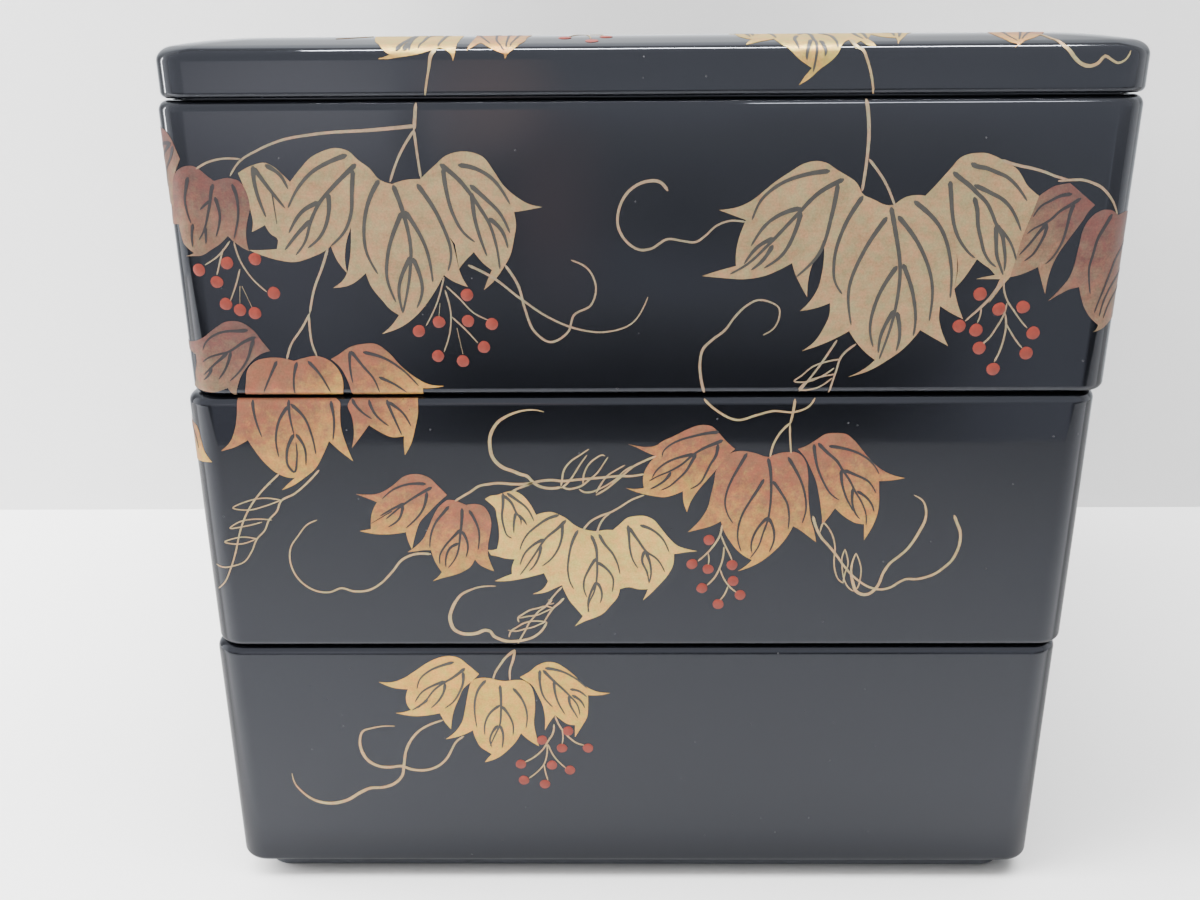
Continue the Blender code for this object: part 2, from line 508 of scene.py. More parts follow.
    ], [
        [814,444, 815,455, 818,469, 824,483, 830,493, 839,500],
        [818,443, 828,453, 837,461, 842,469, 850,481, 855,491, 862,503, 866,515, 866,525],
        [841,470, 842,483, 846,497, 851,507, 853,511],
        [829,446, 842,448, 856,452, 868,459, 876,468, 879,474],
        [844,470, 856,475, 868,481, 876,493],
        [853,488, 852,497, 853,507, 858,517, 860,519],
        [857,491, 866,497, 872,505, 874,512],
    ]),
    "gold_low_left": ("bottom_tier", "gold", [
        [379,682, 393,682, 404,678, 415,671, 427,663, 438,658, 450,656, 459,658, 467,664],
        [479,674, 472,681, 463,689, 459,698, 454,710],
        [451,729, 445,722],
        [440,713, 429,715, 415,716],
        [396,713, 404,712],
        [411,710, 407,704, 406,697],
        [408,689, 395,688],
    ], [
        [454,662, 443,665, 429,671, 420,679, 417,689],
        [465,668, 452,678, 445,682, 434,690, 427,699, 418,708],
        [445,681, 434,685, 422,692, 415,702],
        [445,683, 444,691, 439,700, 431,708],
        [463,672, 463,683, 460,691, 454,701, 445,708],
        [428,699, 422,704, 412,710],
    ]),
    "gold_low_centre": ("bottom_tier", "gold", [
        [497,680, 488,678, 479,678, 472,681, 469,689, 467,699, 465,710, 462,722, 456,731],
        [446,739, 456,737, 465,734],
        [473,730, 476,739, 481,747, 487,751],
        [492,754, 488,758],
        [485,762, 497,758, 509,749, 517,740],
        [521,733, 529,740],
        [539,746, 536,735, 534,724, 535,708, 534,695, 530,685, 525,681, 515,680, 506,681],
    ], [
        [486,680, 478,690, 475,701, 475,715, 477,727],
        [500,685, 501,699, 501,713, 500,724, 495,735, 490,746],
        [500,705, 490,713, 485,724, 485,735],
        [502,706, 509,715, 513,724, 513,735],
        [513,688, 522,699, 527,713, 526,728],
        [498,725, 493,731, 490,740, 492,747],
        [500,725, 503,733, 503,742, 502,748],
    ]),
    "gold_low_right": ("bottom_tier", "gold", [
        [520,677, 529,672, 538,665, 547,662, 556,663, 565,668, 575,676, 584,685, 595,691],
        [610,693, 600,695],
        [588,695, 588,706, 587,717, 582,726],
        [575,737, 575,731],
        [575,725, 568,724, 559,718],
        [555,715, 551,720],
        [545,730, 545,717, 543,706, 538,695, 531,684, 526,681],
    ], [
        [540,670, 540,683, 544,697, 553,707],
        [543,670, 554,681, 563,689, 570,696, 577,704, 580,715],
        [545,668, 561,671, 575,678, 587,688],
        [554,681, 555,692, 559,704, 565,714],
        [570,689, 579,691, 587,697],
        [569,695, 570,704, 575,713, 578,718],
        [572,695, 581,701, 585,708],
    ]),
    "copper_far_left": ("top_tier", "dark_copper", [
        [214,181, 207,176, 200,170, 193,166, 186,166, 179,169, 175,174, 173,183, 172,200],
        [173,224],
        [179,224, 181,233, 184,243, 189,249],
        [194,253, 190,255],
        [186,256, 193,256, 203,255, 211,250, 220,244],
        [228,236],
        [233,241, 236,243, 243,248],
        [249,251, 247,243, 246,234, 247,223],
        [250,209, 249,200, 246,191],
        [242,184, 239,181, 233,179, 227,178, 221,179],
    ], [
        [213,184, 211,193, 210,203, 208,214, 206,224, 203,233, 199,240],
        [188,177, 186,189, 185,200, 187,211, 191,223],
        [215,197, 218,206, 220,216, 219,226, 216,237],
        [232,184, 236,194, 238,206, 238,219, 236,230, 234,239],
        [211,200, 206,204, 200,210],
        [205,226, 206,236, 206,244],
        [193,224, 192,236, 193,247],
    ]),
    "copper_corner_left": ("top_tier", "dark_copper", [
        [180,159, 176,150, 170,137, 166,131, 160,127, 153,125, 144,126, 137,131],
        [133,139, 134,149, 136,160],
        [141,173, 139,180],
        [136,186, 144,186],
        [153,184, 159,191, 166,199],
        [174,206, 173,194, 173,183, 177,167],
    ], [
        [171,143, 166,150, 159,163, 157,174],
        [171,143, 163,144, 153,150, 144,160],
        [173,146, 171,157, 167,171, 167,186],
    ], [150,143, 171,193]),
    "copper_low_left": ("top_tier", "dark_copper", [
        [270,351, 266,346, 261,340, 255,332, 248,326, 240,322, 232,321, 225,322, 218,326, 210,332,
         204,337, 198,340, 190,341],
        [178,339, 185,346, 192,351],
        [196,354, 197,362, 196,372, 196,380],
        [195,385, 200,389, 208,392, 216,392, 222,390],
        [228,388, 231,392],
        [236,395],
        [238,395, 238,385, 241,376, 246,368, 254,359, 261,354],
    ], [
        [248,330, 239,331, 229,331, 219,333, 210,338, 205,344, 203,350],
        [256,337, 250,339, 242,343, 235,348, 228,352, 220,354, 210,357, 203,362],
        [228,352, 222,358, 215,364, 209,370, 204,375],
        [231,352, 229,360, 226,368, 222,375, 219,379],
        [254,339, 251,348, 249,356, 245,364, 240,371, 230,381],
        [212,368, 209,375, 204,380],
    ]),
    "copper_corner_middle": ("middle_tier", "copper", [
        [212,462, 204,450, 201,439, 197,426, 192,418, 185,412, 176,414, 169,421, 165,431, 163,442],
        [156,454, 166,452],
        [172,451, 175,458],
        [181,464, 190,459],
        [194,458, 202,461],
    ], [
        [192,420, 189,430, 188,441, 191,451],
        [185,416, 179,428, 176,440, 179,450],
        [192,422, 196,435, 199,448],
    ], [179,416, 200,458]),
    "lid_left_gold": ("lid", "gold", [
        [378,59, 384,57],
        [390,55, 384,51, 378,44, 376,37, 375,31, 380,26, 394,23, 410,25, 420,21, 434,23, 450,26, 462,30,
         464,35, 459,41, 456,47, 455,53],
        [453,61, 451,55, 447,51],
        [440,48, 432,50, 426,52, 414,55, 400,57, 388,59],
    ], [
        [396,51, 400,46, 407,41, 418,33],
        [404,51, 407,45, 414,39, 420,33],
        [426,29, 416,37, 410,45, 409,51],
        [442,31, 430,37, 422,43, 418,49],
        [450,33, 442,41, 438,47],
    ], [416,29, 416,59]),
    "lid_left_copper": ("lid", "copper", [
        [466,51, 469,46, 473,41, 477,35, 478,29, 486,24, 500,22, 516,25, 528,30, 532,34, 527,38, 522,43,
         514,49, 507,55],
        [505,59],
        [504,54, 496,51, 488,47],
        [481,43, 473,47],
    ], [
        [479,33, 484,39, 490,44],
        [500,29, 497,37, 500,45, 504,51],
        [510,29, 508,39, 506,49],
        [520,31, 516,39, 510,47],
    ], [500,27, 502,55]),
    "lid_right_gold": ("lid", "gold", [
        [746,45, 753,39, 761,33, 763,28, 770,24, 784,22, 806,21, 827,23, 841,26, 846,33],
        [849,40, 841,47, 839,52, 831,61, 820,69, 809,79],
        [799,85, 806,75],
        [812,68, 803,62, 796,56, 789,49, 781,44],
        [774,39, 754,43],
    ], [
        [770,29, 770,34, 776,38],
        [797,36, 796,42, 799,49],
        [799,35, 804,33, 810,35, 814,40, 817,48, 816,58, 813,72],
        [811,40, 809,46, 807,54, 807,60],
        [820,41, 824,46, 826,51, 825,56],
        [819,34, 830,36, 836,41, 838,48],
    ]),
    "lid_right_small": ("lid", "gold", [
        [849,40, 847,34, 846,28, 851,24, 860,24, 869,26, 873,31, 870,36, 869,40],
        [876,46, 867,45],
        [861,41, 857,43],
        [854,45],
    ], [
        [854,31, 857,36, 863,39],
        [861,28, 863,34, 867,39],
    ]),
    "lid_right_far": ("lid", "gold", [
        [898,44],
        [896,38, 884,37, 873,35, 874,28, 881,24, 894,23, 906,25, 911,29, 907,34, 903,38],
    ], [
        [884,28, 889,32, 894,36],
        [900,27, 900,32, 899,37],
    ]),
    "lid_left_far": ("lid", "gold", [
        [754,40, 744,38, 733,34, 729,31, 733,26, 741,24, 753,24, 759,29, 759,34],
    ], [
        [736,29, 743,34, 750,37],
        [749,26, 751,32, 753,36],
    ]),
    "lid_edge_copper": ("lid", "copper", [
        [1015,48],
        [1018,44, 1010,42, 1002,38, 992,34, 990,28, 998,24, 1013,22, 1028,24, 1040,27, 1043,31, 1040,35,
         1033,38, 1023,42],
    ], [
        [1003,32, 1010,37, 1017,41],
        [1020,28, 1020,35, 1019,40],
        [1033,28, 1028,33, 1022,39],
    ], [1020,28, 1018,43]),
}

STROKES = {
    "stem_left": ("top_tier", (0.7, 0.8), [416,103, 415,114, 414,130]),
    "stem_left_fork_a": ("top_tier", (0.6, 0.5), [414,130, 399,156, 390,182]),
    "stem_left_fork_b": ("top_tier", (0.6, 0.5), [414,130, 417,153, 421,178]),
    "stem_left_branch": ("top_tier", (0.8, 0.4), [
        414,126, 372,130, 316,134, 279,141, 256,151, 240,161, 230,176]),
    "stem_far_left": ("top_tier", (0.4, 0.5), [240,159, 220,159, 206,163, 196,169]),
    "berry_stem_a1": ("top_tier", (0.4, 0.3), [230,241, 218,256, 205,265]),
    "berry_stem_a2": ("top_tier", (0.4, 0.3), [223,249, 220,262, 217,275]),
    "berry_stem_a3": ("top_tier", (0.4, 0.3), [234,242, 240,260, 251,277, 267,292]),
    "berry_stem_a4": ("top_tier", (0.4, 0.3), [240,269, 236,285, 230,302]),
    "berry_stem_a5": ("top_tier", (0.4, 0.3), [240,286, 240,305]),
    "berry_stem_a6": ("top_tier", (0.4, 0.3), [242,286, 252,307]),
    "berry_stem_b1": ("top_tier", (0.4, 0.3), [444,277, 437,303, 426,326]),
    "berry_stem_b2": ("top_tier", (0.4, 0.3), [440,303, 439,317]),
    "berry_stem_b3": ("top_tier", (0.4, 0.3), [445,290, 451,315, 450,332, 444,352]),
    "berry_stem_b4": ("top_tier", (0.4, 0.3), [452,317, 466,330, 478,343]),
    "berry_stem_b5": ("top_tier", (0.4, 0.3), [457,328, 463,354]),
    "berry_stem_b6": ("top_tier", (0.4, 0.3), [446,286, 459,298, 474,313, 488,320]),
    "stem_low_left": ("top_tier", (0.6, 0.5), [328,248, 323,265, 314,290, 310,313]),
    "stem_low_left_fork_a": ("top_tier", (0.5, 0.5), [310,313, 302,328, 291,345, 287,359]),
    "stem_low_left_fork_b": ("top_tier", (0.5, 0.5), [309,315, 310,330, 312,343, 317,356]),
    "stem_right": ("top_tier", (0.8, 0.6), [866,99, 869,130, 867,158, 862,191]),
    "stem_right_fork": ("top_tier", (0.6, 0.5), [869,159, 885,182, 895,206]),
    "tendril_gold_right": ("top_tier", (0.4, 0.7), [
        746,222, 729,221, 716,226, 705,236, 696,242, 683,241, 668,239, 650,249, 641,250, 626,241,
        618,226, 619,209, 628,192, 644,182, 660,182, 668,191]),
    "tendril_hook": ("top_tier", (0.3, 0.7), [
        763,335, 773,329, 779,318, 779,308, 770,302, 758,300, 746,306, 734,318, 725,330, 712,340,
        703,349, 700,362, 701,379, 704,392]),
    "tendril_hook_lower": ("middle_tier", (0.6, 0.4), [
        704,399, 716,410, 738,420, 757,415, 773,411, 794,412, 808,407, 815,398]),
    "twist_right_a": ("top_tier", (0.5, 0.4), [837,340, 820,365, 799,391]),
    "twist_right_b": ("top_tier", (0.5, 0.4), [856,344, 841,357, 836,371, 828,392]),
    "twist_right_loop_a": ("top_tier", (0.35, 0.35), [
        841,359, 829,361, 812,367, 801,376, 794,381, 805,382, 820,377, 834,368]),
    "twist_right_loop_b": ("top_tier", (0.35, 0.35), [
        836,374, 820,377, 806,382, 799,389, 816,388, 832,378]),
    "tendril_left_long": ("top_tier", (0.6, 0.3), [
        468,265, 492,277, 521,299, 548,317, 574,328, 604,332, 631,324, 648,297]),
    "tendril_left_curl": ("top_tier", (0.6, 0.4), [
        505,265, 518,285, 525,309, 535,332, 550,342, 568,332, 574,315, 591,305, 596,289, 588,269,
        571,260]),
    "tendril_middle_left": ("middle_tier", (0.3, 0.6), [
        317,520, 308,524, 298,536, 291,547, 290,559, 294,572, 304,584, 317,591, 330,592, 342,588,
        353,591, 369,590, 380,584, 392,572, 403,559, 415,554, 431,554]),
    "twist_low_left_a": ("middle_tier", (0.5, 0.3), [
        279,474, 254,501, 246,515, 240,532, 236,551, 231,568, 225,582, 219,588]),
    "twist_low_left_b": ("middle_tier", (0.5, 0.3), [
        319,470, 308,482, 294,494, 281,501, 277,511, 269,520, 265,530, 257,539, 252,551, 244,562,
        233,566, 223,567, 217,564]),
    "twist_low_left_loop_a": ("middle_tier", (0.3, 0.3), [
        281,500, 265,498, 248,501, 233,508, 248,510, 265,506, 281,500]),
    "twist_low_left_loop_b": ("middle_tier", (0.3, 0.3), [
        272,520, 256,519, 239,522, 230,528, 246,526, 262,522]),
    "twist_low_left_loop_c": ("middle_tier", (0.3, 0.3), [258,539, 242,537, 225,542, 240,544, 256,539]),
    "stem_right_branch": ("top_tier", (0.7, 0.5), [
        1002,160, 1010,163, 1021,166, 1031,168, 1045,172, 1055,176, 1065,179, 1070,181]),
    "stem_right_edge": ("top_tier", (0.5, 0.6, 0.35), [
        1058,181, 1070,180, 1083,180, 1093,183, 1101,187, 1108,194, 1113,202, 1117,214]),
    "berry_stem_c1": ("top_tier", (0.8, 0.4), [1002,282, 996,290, 990,298, 981,307, 972,315, 965,321]),
    "berry_stem_c2": ("top_tier", (0.35, 0.3), [981,307, 980,316, 977,323]),
    "berry_stem_c3": ("top_tier", (0.4, 0.35), [
        1004,278, 1004,290, 1007,300, 1014,311, 1021,321, 1027,328]),
    "berry_stem_c4": ("top_tier", (0.4, 0.45), [1007,303, 1003,316, 996,328, 988,339, 982,344]),
    "berry_stem_c5": ("top_tier", (0.4, 0.45), [1005,313, 1006,325, 1004,337, 1000,350, 994,362]),
    "berry_stem_c6": ("top_tier", (0.4, 0.35), [1005,322, 1010,331, 1017,342, 1022,348]),
    "tendril_middle_top_whole": ("middle_tier", (0.2, 0.8, 0.85, 0.6), [
        544,412, 536,410, 527,410, 517,412, 507,416, 499,421, 493,429, 490,437, 490,447, 492,456,
        497,463, 504,468, 513,471, 520,474, 527,476, 533,482, 539,486, 547,488, 556,488, 561,487]),
    "stem_across": ("middle_tier", (0.5, 0.65, 0.6, 0.5), [
        455,501, 463,496, 470,492, 479,486, 489,484, 499,483, 513,484, 524,484, 531,483, 540,481,
        551,480, 563,481, 573,480, 584,479, 596,478, 607,477, 619,476, 631,476, 644,474]),
    "stem_across_back": ("middle_tier", (0.45, 0.5), [
        596,495, 606,489, 616,481, 624,474, 634,466, 644,461, 656,456]),
    "coil_a": ("middle_tier", (0.5, 0.3), [561,486, 562,480, 564,470, 571,461, 580,455, 589,449]),
    "coil_b": ("middle_tier", (0.3, 0.5), [587,455, 581,463, 576,471, 570,480, 564,486, 561,488]),
    "coil_c": ("middle_tier", (0.45, 0.3), [583,484, 584,474, 589,464, 596,458, 603,455, 605,456]),
    "coil_d": ("middle_tier", (0.3, 0.5), [
        608,457, 604,463, 597,473, 589,480, 581,486, 575,488, 569,489, 562,487]),
    "coil_e": ("middle_tier", (0.3, 0.45), [625,465, 616,470, 607,476, 601,484, 596,493]),
    "coil_f": ("middle_tier", (0.3, 0.45), [
        632,466, 624,471, 616,479, 607,485, 599,489, 591,492, 584,492, 579,489]),
    "stem_small_leaf": ("middle_tier", (0.5, 0.55), [511,492, 519,488, 527,485, 533,482]),
    "stem_middle_pair_a": ("middle_tier", (0.4, 0.5), [
        644,495, 631,500, 620,507, 611,512, 600,516, 591,521, 583,530]),
    "stem_middle_pair_b": ("middle_tier", (0.4, 0.5), [610,513, 604,518, 600,524, 597,533]),
    "tendril_below_gold": ("middle_tier", (0.2, 0.9, 0.8, 0.5), [
        496,586, 488,586, 479,587, 470,590, 462,594, 456,601, 452,609, 450,617, 451,623, 454,629,
        461,633, 469,634, 477,633, 486,630, 490,631, 494,636, 500,639, 507,641, 516,641, 523,640,
        531,638, 538,634, 543,629, 547,622]),
    "coil_low_a": ("middle_tier", (0.45, 0.4), [
        562,587, 557,592, 551,599, 546,606, 539,611, 533,618, 529,623, 526,629, 522,636, 518,643]),
    "coil_low_b": ("middle_tier", (0.6, 0.35), [564,598, 559,603, 553,608, 549,614, 544,622]),
    "coil_low_c": ("middle_tier", (0.35, 0.45), [
        553,608, 546,606, 538,608, 530,610, 523,614, 518,618, 519,622]),
    "coil_low_d": ("middle_tier", (0.35, 0.35), [553,608, 544,612, 537,615, 529,616, 519,618]),
    "coil_low_e": ("middle_tier", (0.35, 0.4), [
        547,622, 540,621, 532,621, 524,623, 517,627, 511,631, 509,637]),
    "coil_low_f": ("middle_tier", (0.35, 0.35), [508,630, 516,631, 524,629, 533,627, 540,624, 545,622]),
    "coil_low_g": ("middle_tier", (0.3, 0.3), [548,600, 552,600, 549,604, 554,603]),
    "stem_upper": ("middle_tier", (0.7, 0.5), [795,399, 794,407, 792,417, 790,424]),
    "stem_upper_fork_a": ("middle_tier", (0.55, 0.45), [790,423, 780,433, 774,443, 770,457]),
    "stem_upper_fork_b": ("middle_tier", (0.45, 0.4), [790,424, 790,435, 791,453]),
    "berry_stem_d1": ("middle_tier", (0.5, 0.4), [722,525, 720,535, 714,545, 706,554, 698,561]),
    "berry_stem_d2": ("middle_tier", (0.35, 0.3), [708,553, 709,559, 708,565]),
    "berry_stem_d3": ("middle_tier", (0.4, 0.35), [721,535, 725,545, 729,553, 732,560]),
    "berry_stem_d4": ("middle_tier", (0.4, 0.45), [724,547, 723,557, 720,567, 714,578, 707,585]),
    "berry_stem_d5": ("middle_tier", (0.35, 0.4), [720,569, 724,579, 730,587, 736,592]),
    "berry_stem_d6": ("middle_tier", (0.35, 0.35), [728,586, 724,595, 720,600]),
    "tendril_right_outer": ("middle_tier", (0.7, 0.5, 0.6, 0.7), [
        813,516, 816,527, 821,537, 829,546, 837,556, 844,566, 851,574, 859,581, 867,586, 876,589,
        884,589, 891,587, 899,582, 906,579, 916,579, 926,577, 934,574, 943,568, 951,561, 957,551,
        960,541, 960,531, 957,523, 954,515]),
    "tendril_right_inner": ("middle_tier", (0.4, 0.35), [
        820,532, 824,523, 827,526, 833,537, 835,549, 834,560, 835,571, 839,580, 843,583]),
    "loop_right_a": ("middle_tier", (0.35, 0.3), [843,583, 845,573, 848,564, 847,556, 845,549]),
    "loop_right_b": ("middle_tier", (0.3, 0.35), [
        845,549, 842,557, 842,567, 844,579, 848,587, 853,591]),
    "loop_right_c": ("middle_tier", (0.35, 0.3), [
        853,591, 857,588, 860,579, 861,569, 859,560, 856,553]),
    "tendril_right_rising": ("middle_tier", (0.3, 0.8, 0.7, 0.6, 0.7, 0.25), [
        856,553, 853,560, 851,571, 853,583, 856,591, 861,594, 868,594, 874,590, 878,585, 883,573,
        890,563, 899,556, 907,549, 914,540, 920,530, 925,520, 926,510, 923,501, 914,495]),
    "stem_low_a": ("bottom_tier", (0.7, 0.45), [515,650, 506,657, 500,665, 495,673, 493,680]),
    "stem_low_b": ("bottom_tier", (0.7, 0.45), [515,650, 513,660, 510,670, 510,680]),
    "berry_stem_e1": ("bottom_tier", (0.45, 0.4), [555,716, 561,728, 570,738, 577,743, 584,745]),
    "berry_stem_e2": ("bottom_tier", (0.35, 0.3), [562,729, 563,738, 562,744]),
    "berry_stem_e3": ("bottom_tier", (0.5, 0.4), [
        554,724, 553,733, 548,741, 543,749, 534,757, 525,762]),
    "berry_stem_e4": ("bottom_tier", (0.4, 0.35), [547,743, 547,754, 544,764, 537,772, 529,778]),
    "berry_stem_e5": ("bottom_tier", (0.4, 0.35), [548,744, 554,756, 566,768]),
    "berry_stem_e6": ("bottom_tier", (0.35, 0.35), [544,764, 546,774, 548,780]),
    "tendril_low_inner": ("bottom_tier", (0.2, 0.85, 0.7, 0.5), [
        395,726, 384,726, 372,728, 363,731, 360,740, 362,751, 368,760, 379,766, 390,767, 402,766,
        411,769, 425,770, 438,766, 447,758, 452,749, 456,742, 464,736]),
    "tendril_low_outer": ("bottom_tier", (0.2, 0.9, 0.8, 0.7, 0.5), [
        292,773, 295,783, 304,793, 315,800, 331,803, 347,800, 361,792, 370,788, 384,787, 395,783,
        402,776, 404,765, 406,751, 411,740, 420,730, 431,724, 443,720]),
    "lid_stem_left": ("lid", (1.0, 0.5, 0.45), [436,49, 431,55, 429,67, 427,79, 425,95]),
    "lid_line_left": ("lid", (0.3, 0.4), [336,39, 354,38, 374,37]),
    "lid_berry_stem_a": ("lid", (0.4, 0.3), [588,29, 578,35, 569,37]),
    "lid_berry_stem_b": ("lid", (0.4, 0.3), [584,29, 587,35, 591,39]),
    "lid_berry_stem_c": ("lid", (0.4, 0.3), [590,28, 598,33, 605,37]),
    "lid_stem_right": ("lid", (1.2, 0.6, 0.5, 0.45), [
        851,40, 856,46, 863,50, 867,59, 870,69, 872,79, 873,93]),
    "lid_tendril": ("lid", (0.4, 0.75, 0.8, 0.6, 0.3), [
        1037,34, 1045,36, 1053,39, 1062,44, 1070,51, 1075,58, 1082,64, 1090,66, 1098,63, 1105,56,
        1112,60, 1118,63, 1125,60, 1131,51]),
}

BERRIES = {
    "berries_left": ("top_tier", 1.28, [
        199,270, 227,263, 217,282, 255,259, 274,293, 226,304, 240,310, 255,313,
    ]),
    "berries_middle": ("top_tier", 1.28, [
        467,295, 419,331, 439,322, 468,321, 492,324, 484,347, 438,356, 463,361,
    ]),
    "berries_right": ("top_tier", 1.36, [
        980,294, 999,309, 1023,307, 959,326, 976,330, 1033,333, 979,348, 1026,353, 993,369,
    ]),
    "berries_centre": ("middle_tier", 1.22, [
        709,540, 692,564, 708,569, 732,565, 702,588, 733,581, 740,595, 718,604,
    ]),
    "berries_low": ("bottom_tier", 1.24, [
        568,731, 542,740, 562,748, 588,748, 521,764, 552,765, 570,770, 524,780, 545,784,
    ]),
    "berries_lid": ("lid", 1.3, [
        565,38, 592,41, 606,37,
    ]),
}


def paint_settings():
    return bpy.context.scene.food_box_paint


def lacquer_settings():
    return bpy.context.scene.food_box_lacquer


def studio_settings():
    return bpy.context.scene.food_box_studio


class LacquerSettings(bpy.types.PropertyGroup):
    """The black lacquer that covers the tiers and the lid."""

    colour: FloatVectorProperty(
        name="Colour", description="The lacquer's own colour, under its gloss",
        subtype="COLOR", size=3, min=0, max=1, default=(0.0035, 0.0038, 0.0050))
    roughness: FloatProperty(
        name="Roughness", description="How much the polished face blurs what it mirrors",
        subtype="FACTOR", min=0, max=1, default=0.045)
    tint: FloatVectorProperty(
        name="Mirror tint", description="Colour of what the face mirrors straight on",
        subtype="COLOR", size=3, min=0, max=1, default=(0.85, 0.89, 1.0))
    index: FloatProperty(
        name="Index of refraction", description="How strongly the face mirrors",
        min=1, max=2.5, default=1.40)


class PaintSettings(bpy.types.PropertyGroup):
    """The painted vine: metal powders, red berries and dark veins."""

    gold: FloatVectorProperty(
        name="Gold", description="Colour of the gold powder on the top tier",
        subtype="COLOR", size=3, min=0, max=1, default=(0.262, 0.178, 0.088))
    # Painted highlight: the lid's gold is brighter and yellower, standing in for the glint of light
    # that crosses its leaves.
    lid_gold_painted_highlight: FloatVectorProperty(
        name="Gold on the lid with painted highlight", description="Colour of the gold powder on the lid",
        subtype="COLOR", size=3, min=0, max=1, default=(0.35, 0.235, 0.055))
    middle_gold: FloatVectorProperty(
        name="Gold on the middle tier", description="Colour of its gold powder",
        subtype="COLOR", size=3, min=0, max=1, default=(0.44, 0.290, 0.078))
    deep_gold: FloatVectorProperty(
        name="Deep gold", description="Colour of the bottom tier's gold and of the copper leaves' tips",
        subtype="COLOR", size=3, min=0, max=1, default=(0.410, 0.238, 0.046))
    copper: FloatVectorProperty(
        name="Copper", description="Colour of the copper powder",
        subtype="COLOR", size=3, min=0, max=1, default=(0.200, 0.076, 0.040))
    # Painted shade: a darker copper for the leaves near the corners, standing in for the shade on them.
    dark_copper: FloatVectorProperty(
        name="Shaded copper", description="Colour of the copper powder near the corners",
        subtype="COLOR", size=3, min=0, max=1, default=(0.105, 0.047, 0.038))
    stem: FloatVectorProperty(
        name="Stem gold", description="Powder of the stems and tendrils",
        subtype="COLOR", size=3, min=0, max=1, default=(0.235, 0.182, 0.125))
    berry: FloatVectorProperty(
        name="Berry", description="Colour of the berries",
        subtype="COLOR", size=3, min=0, max=1, default=(0.20, 0.026, 0.014))
    vein: FloatVectorProperty(
        name="Vein", description="Colour of the veins drawn on gold leaves",
        subtype="COLOR", size=3, min=0, max=1, default=(0.036, 0.034, 0.029))
    copper_vein: FloatVectorProperty(
        name="Vein on copper", description="Colour of the veins drawn on copper leaves",
        subtype="COLOR", size=3, min=0, max=1, default=(0.020, 0.017, 0.018))


class StudioSettings(bpy.types.PropertyGroup):
    """The pale floor and the soft lights."""

    floor: FloatVectorProperty(
        name="Floor", description="Colour of the floor and the wall behind",
        subtype="COLOR", size=3, min=0, max=1, default=(0.80, 0.80, 0.80))
    ceiling: FloatProperty(
        name="Ceiling light", description="Power of the wide light overhead",
        unit="POWER", min=0, default=98.0)
    window: FloatProperty(
        name="Side light", description="Power of the light from the left",
        unit="POWER", min=0, default=72.0)
    lamp: FloatProperty(
        name="Lamp", description="Power of the nearer light at the left",
        unit="POWER", min=0, default=14.0)
    glint: FloatProperty(
        name="Glint", description="Power of the strips that the edges mirror",
        unit="POWER", min=0, default=60.0)
    air: FloatProperty(
        name="Room light", description="Brightness of the room all round",
        min=0, default=0.27)


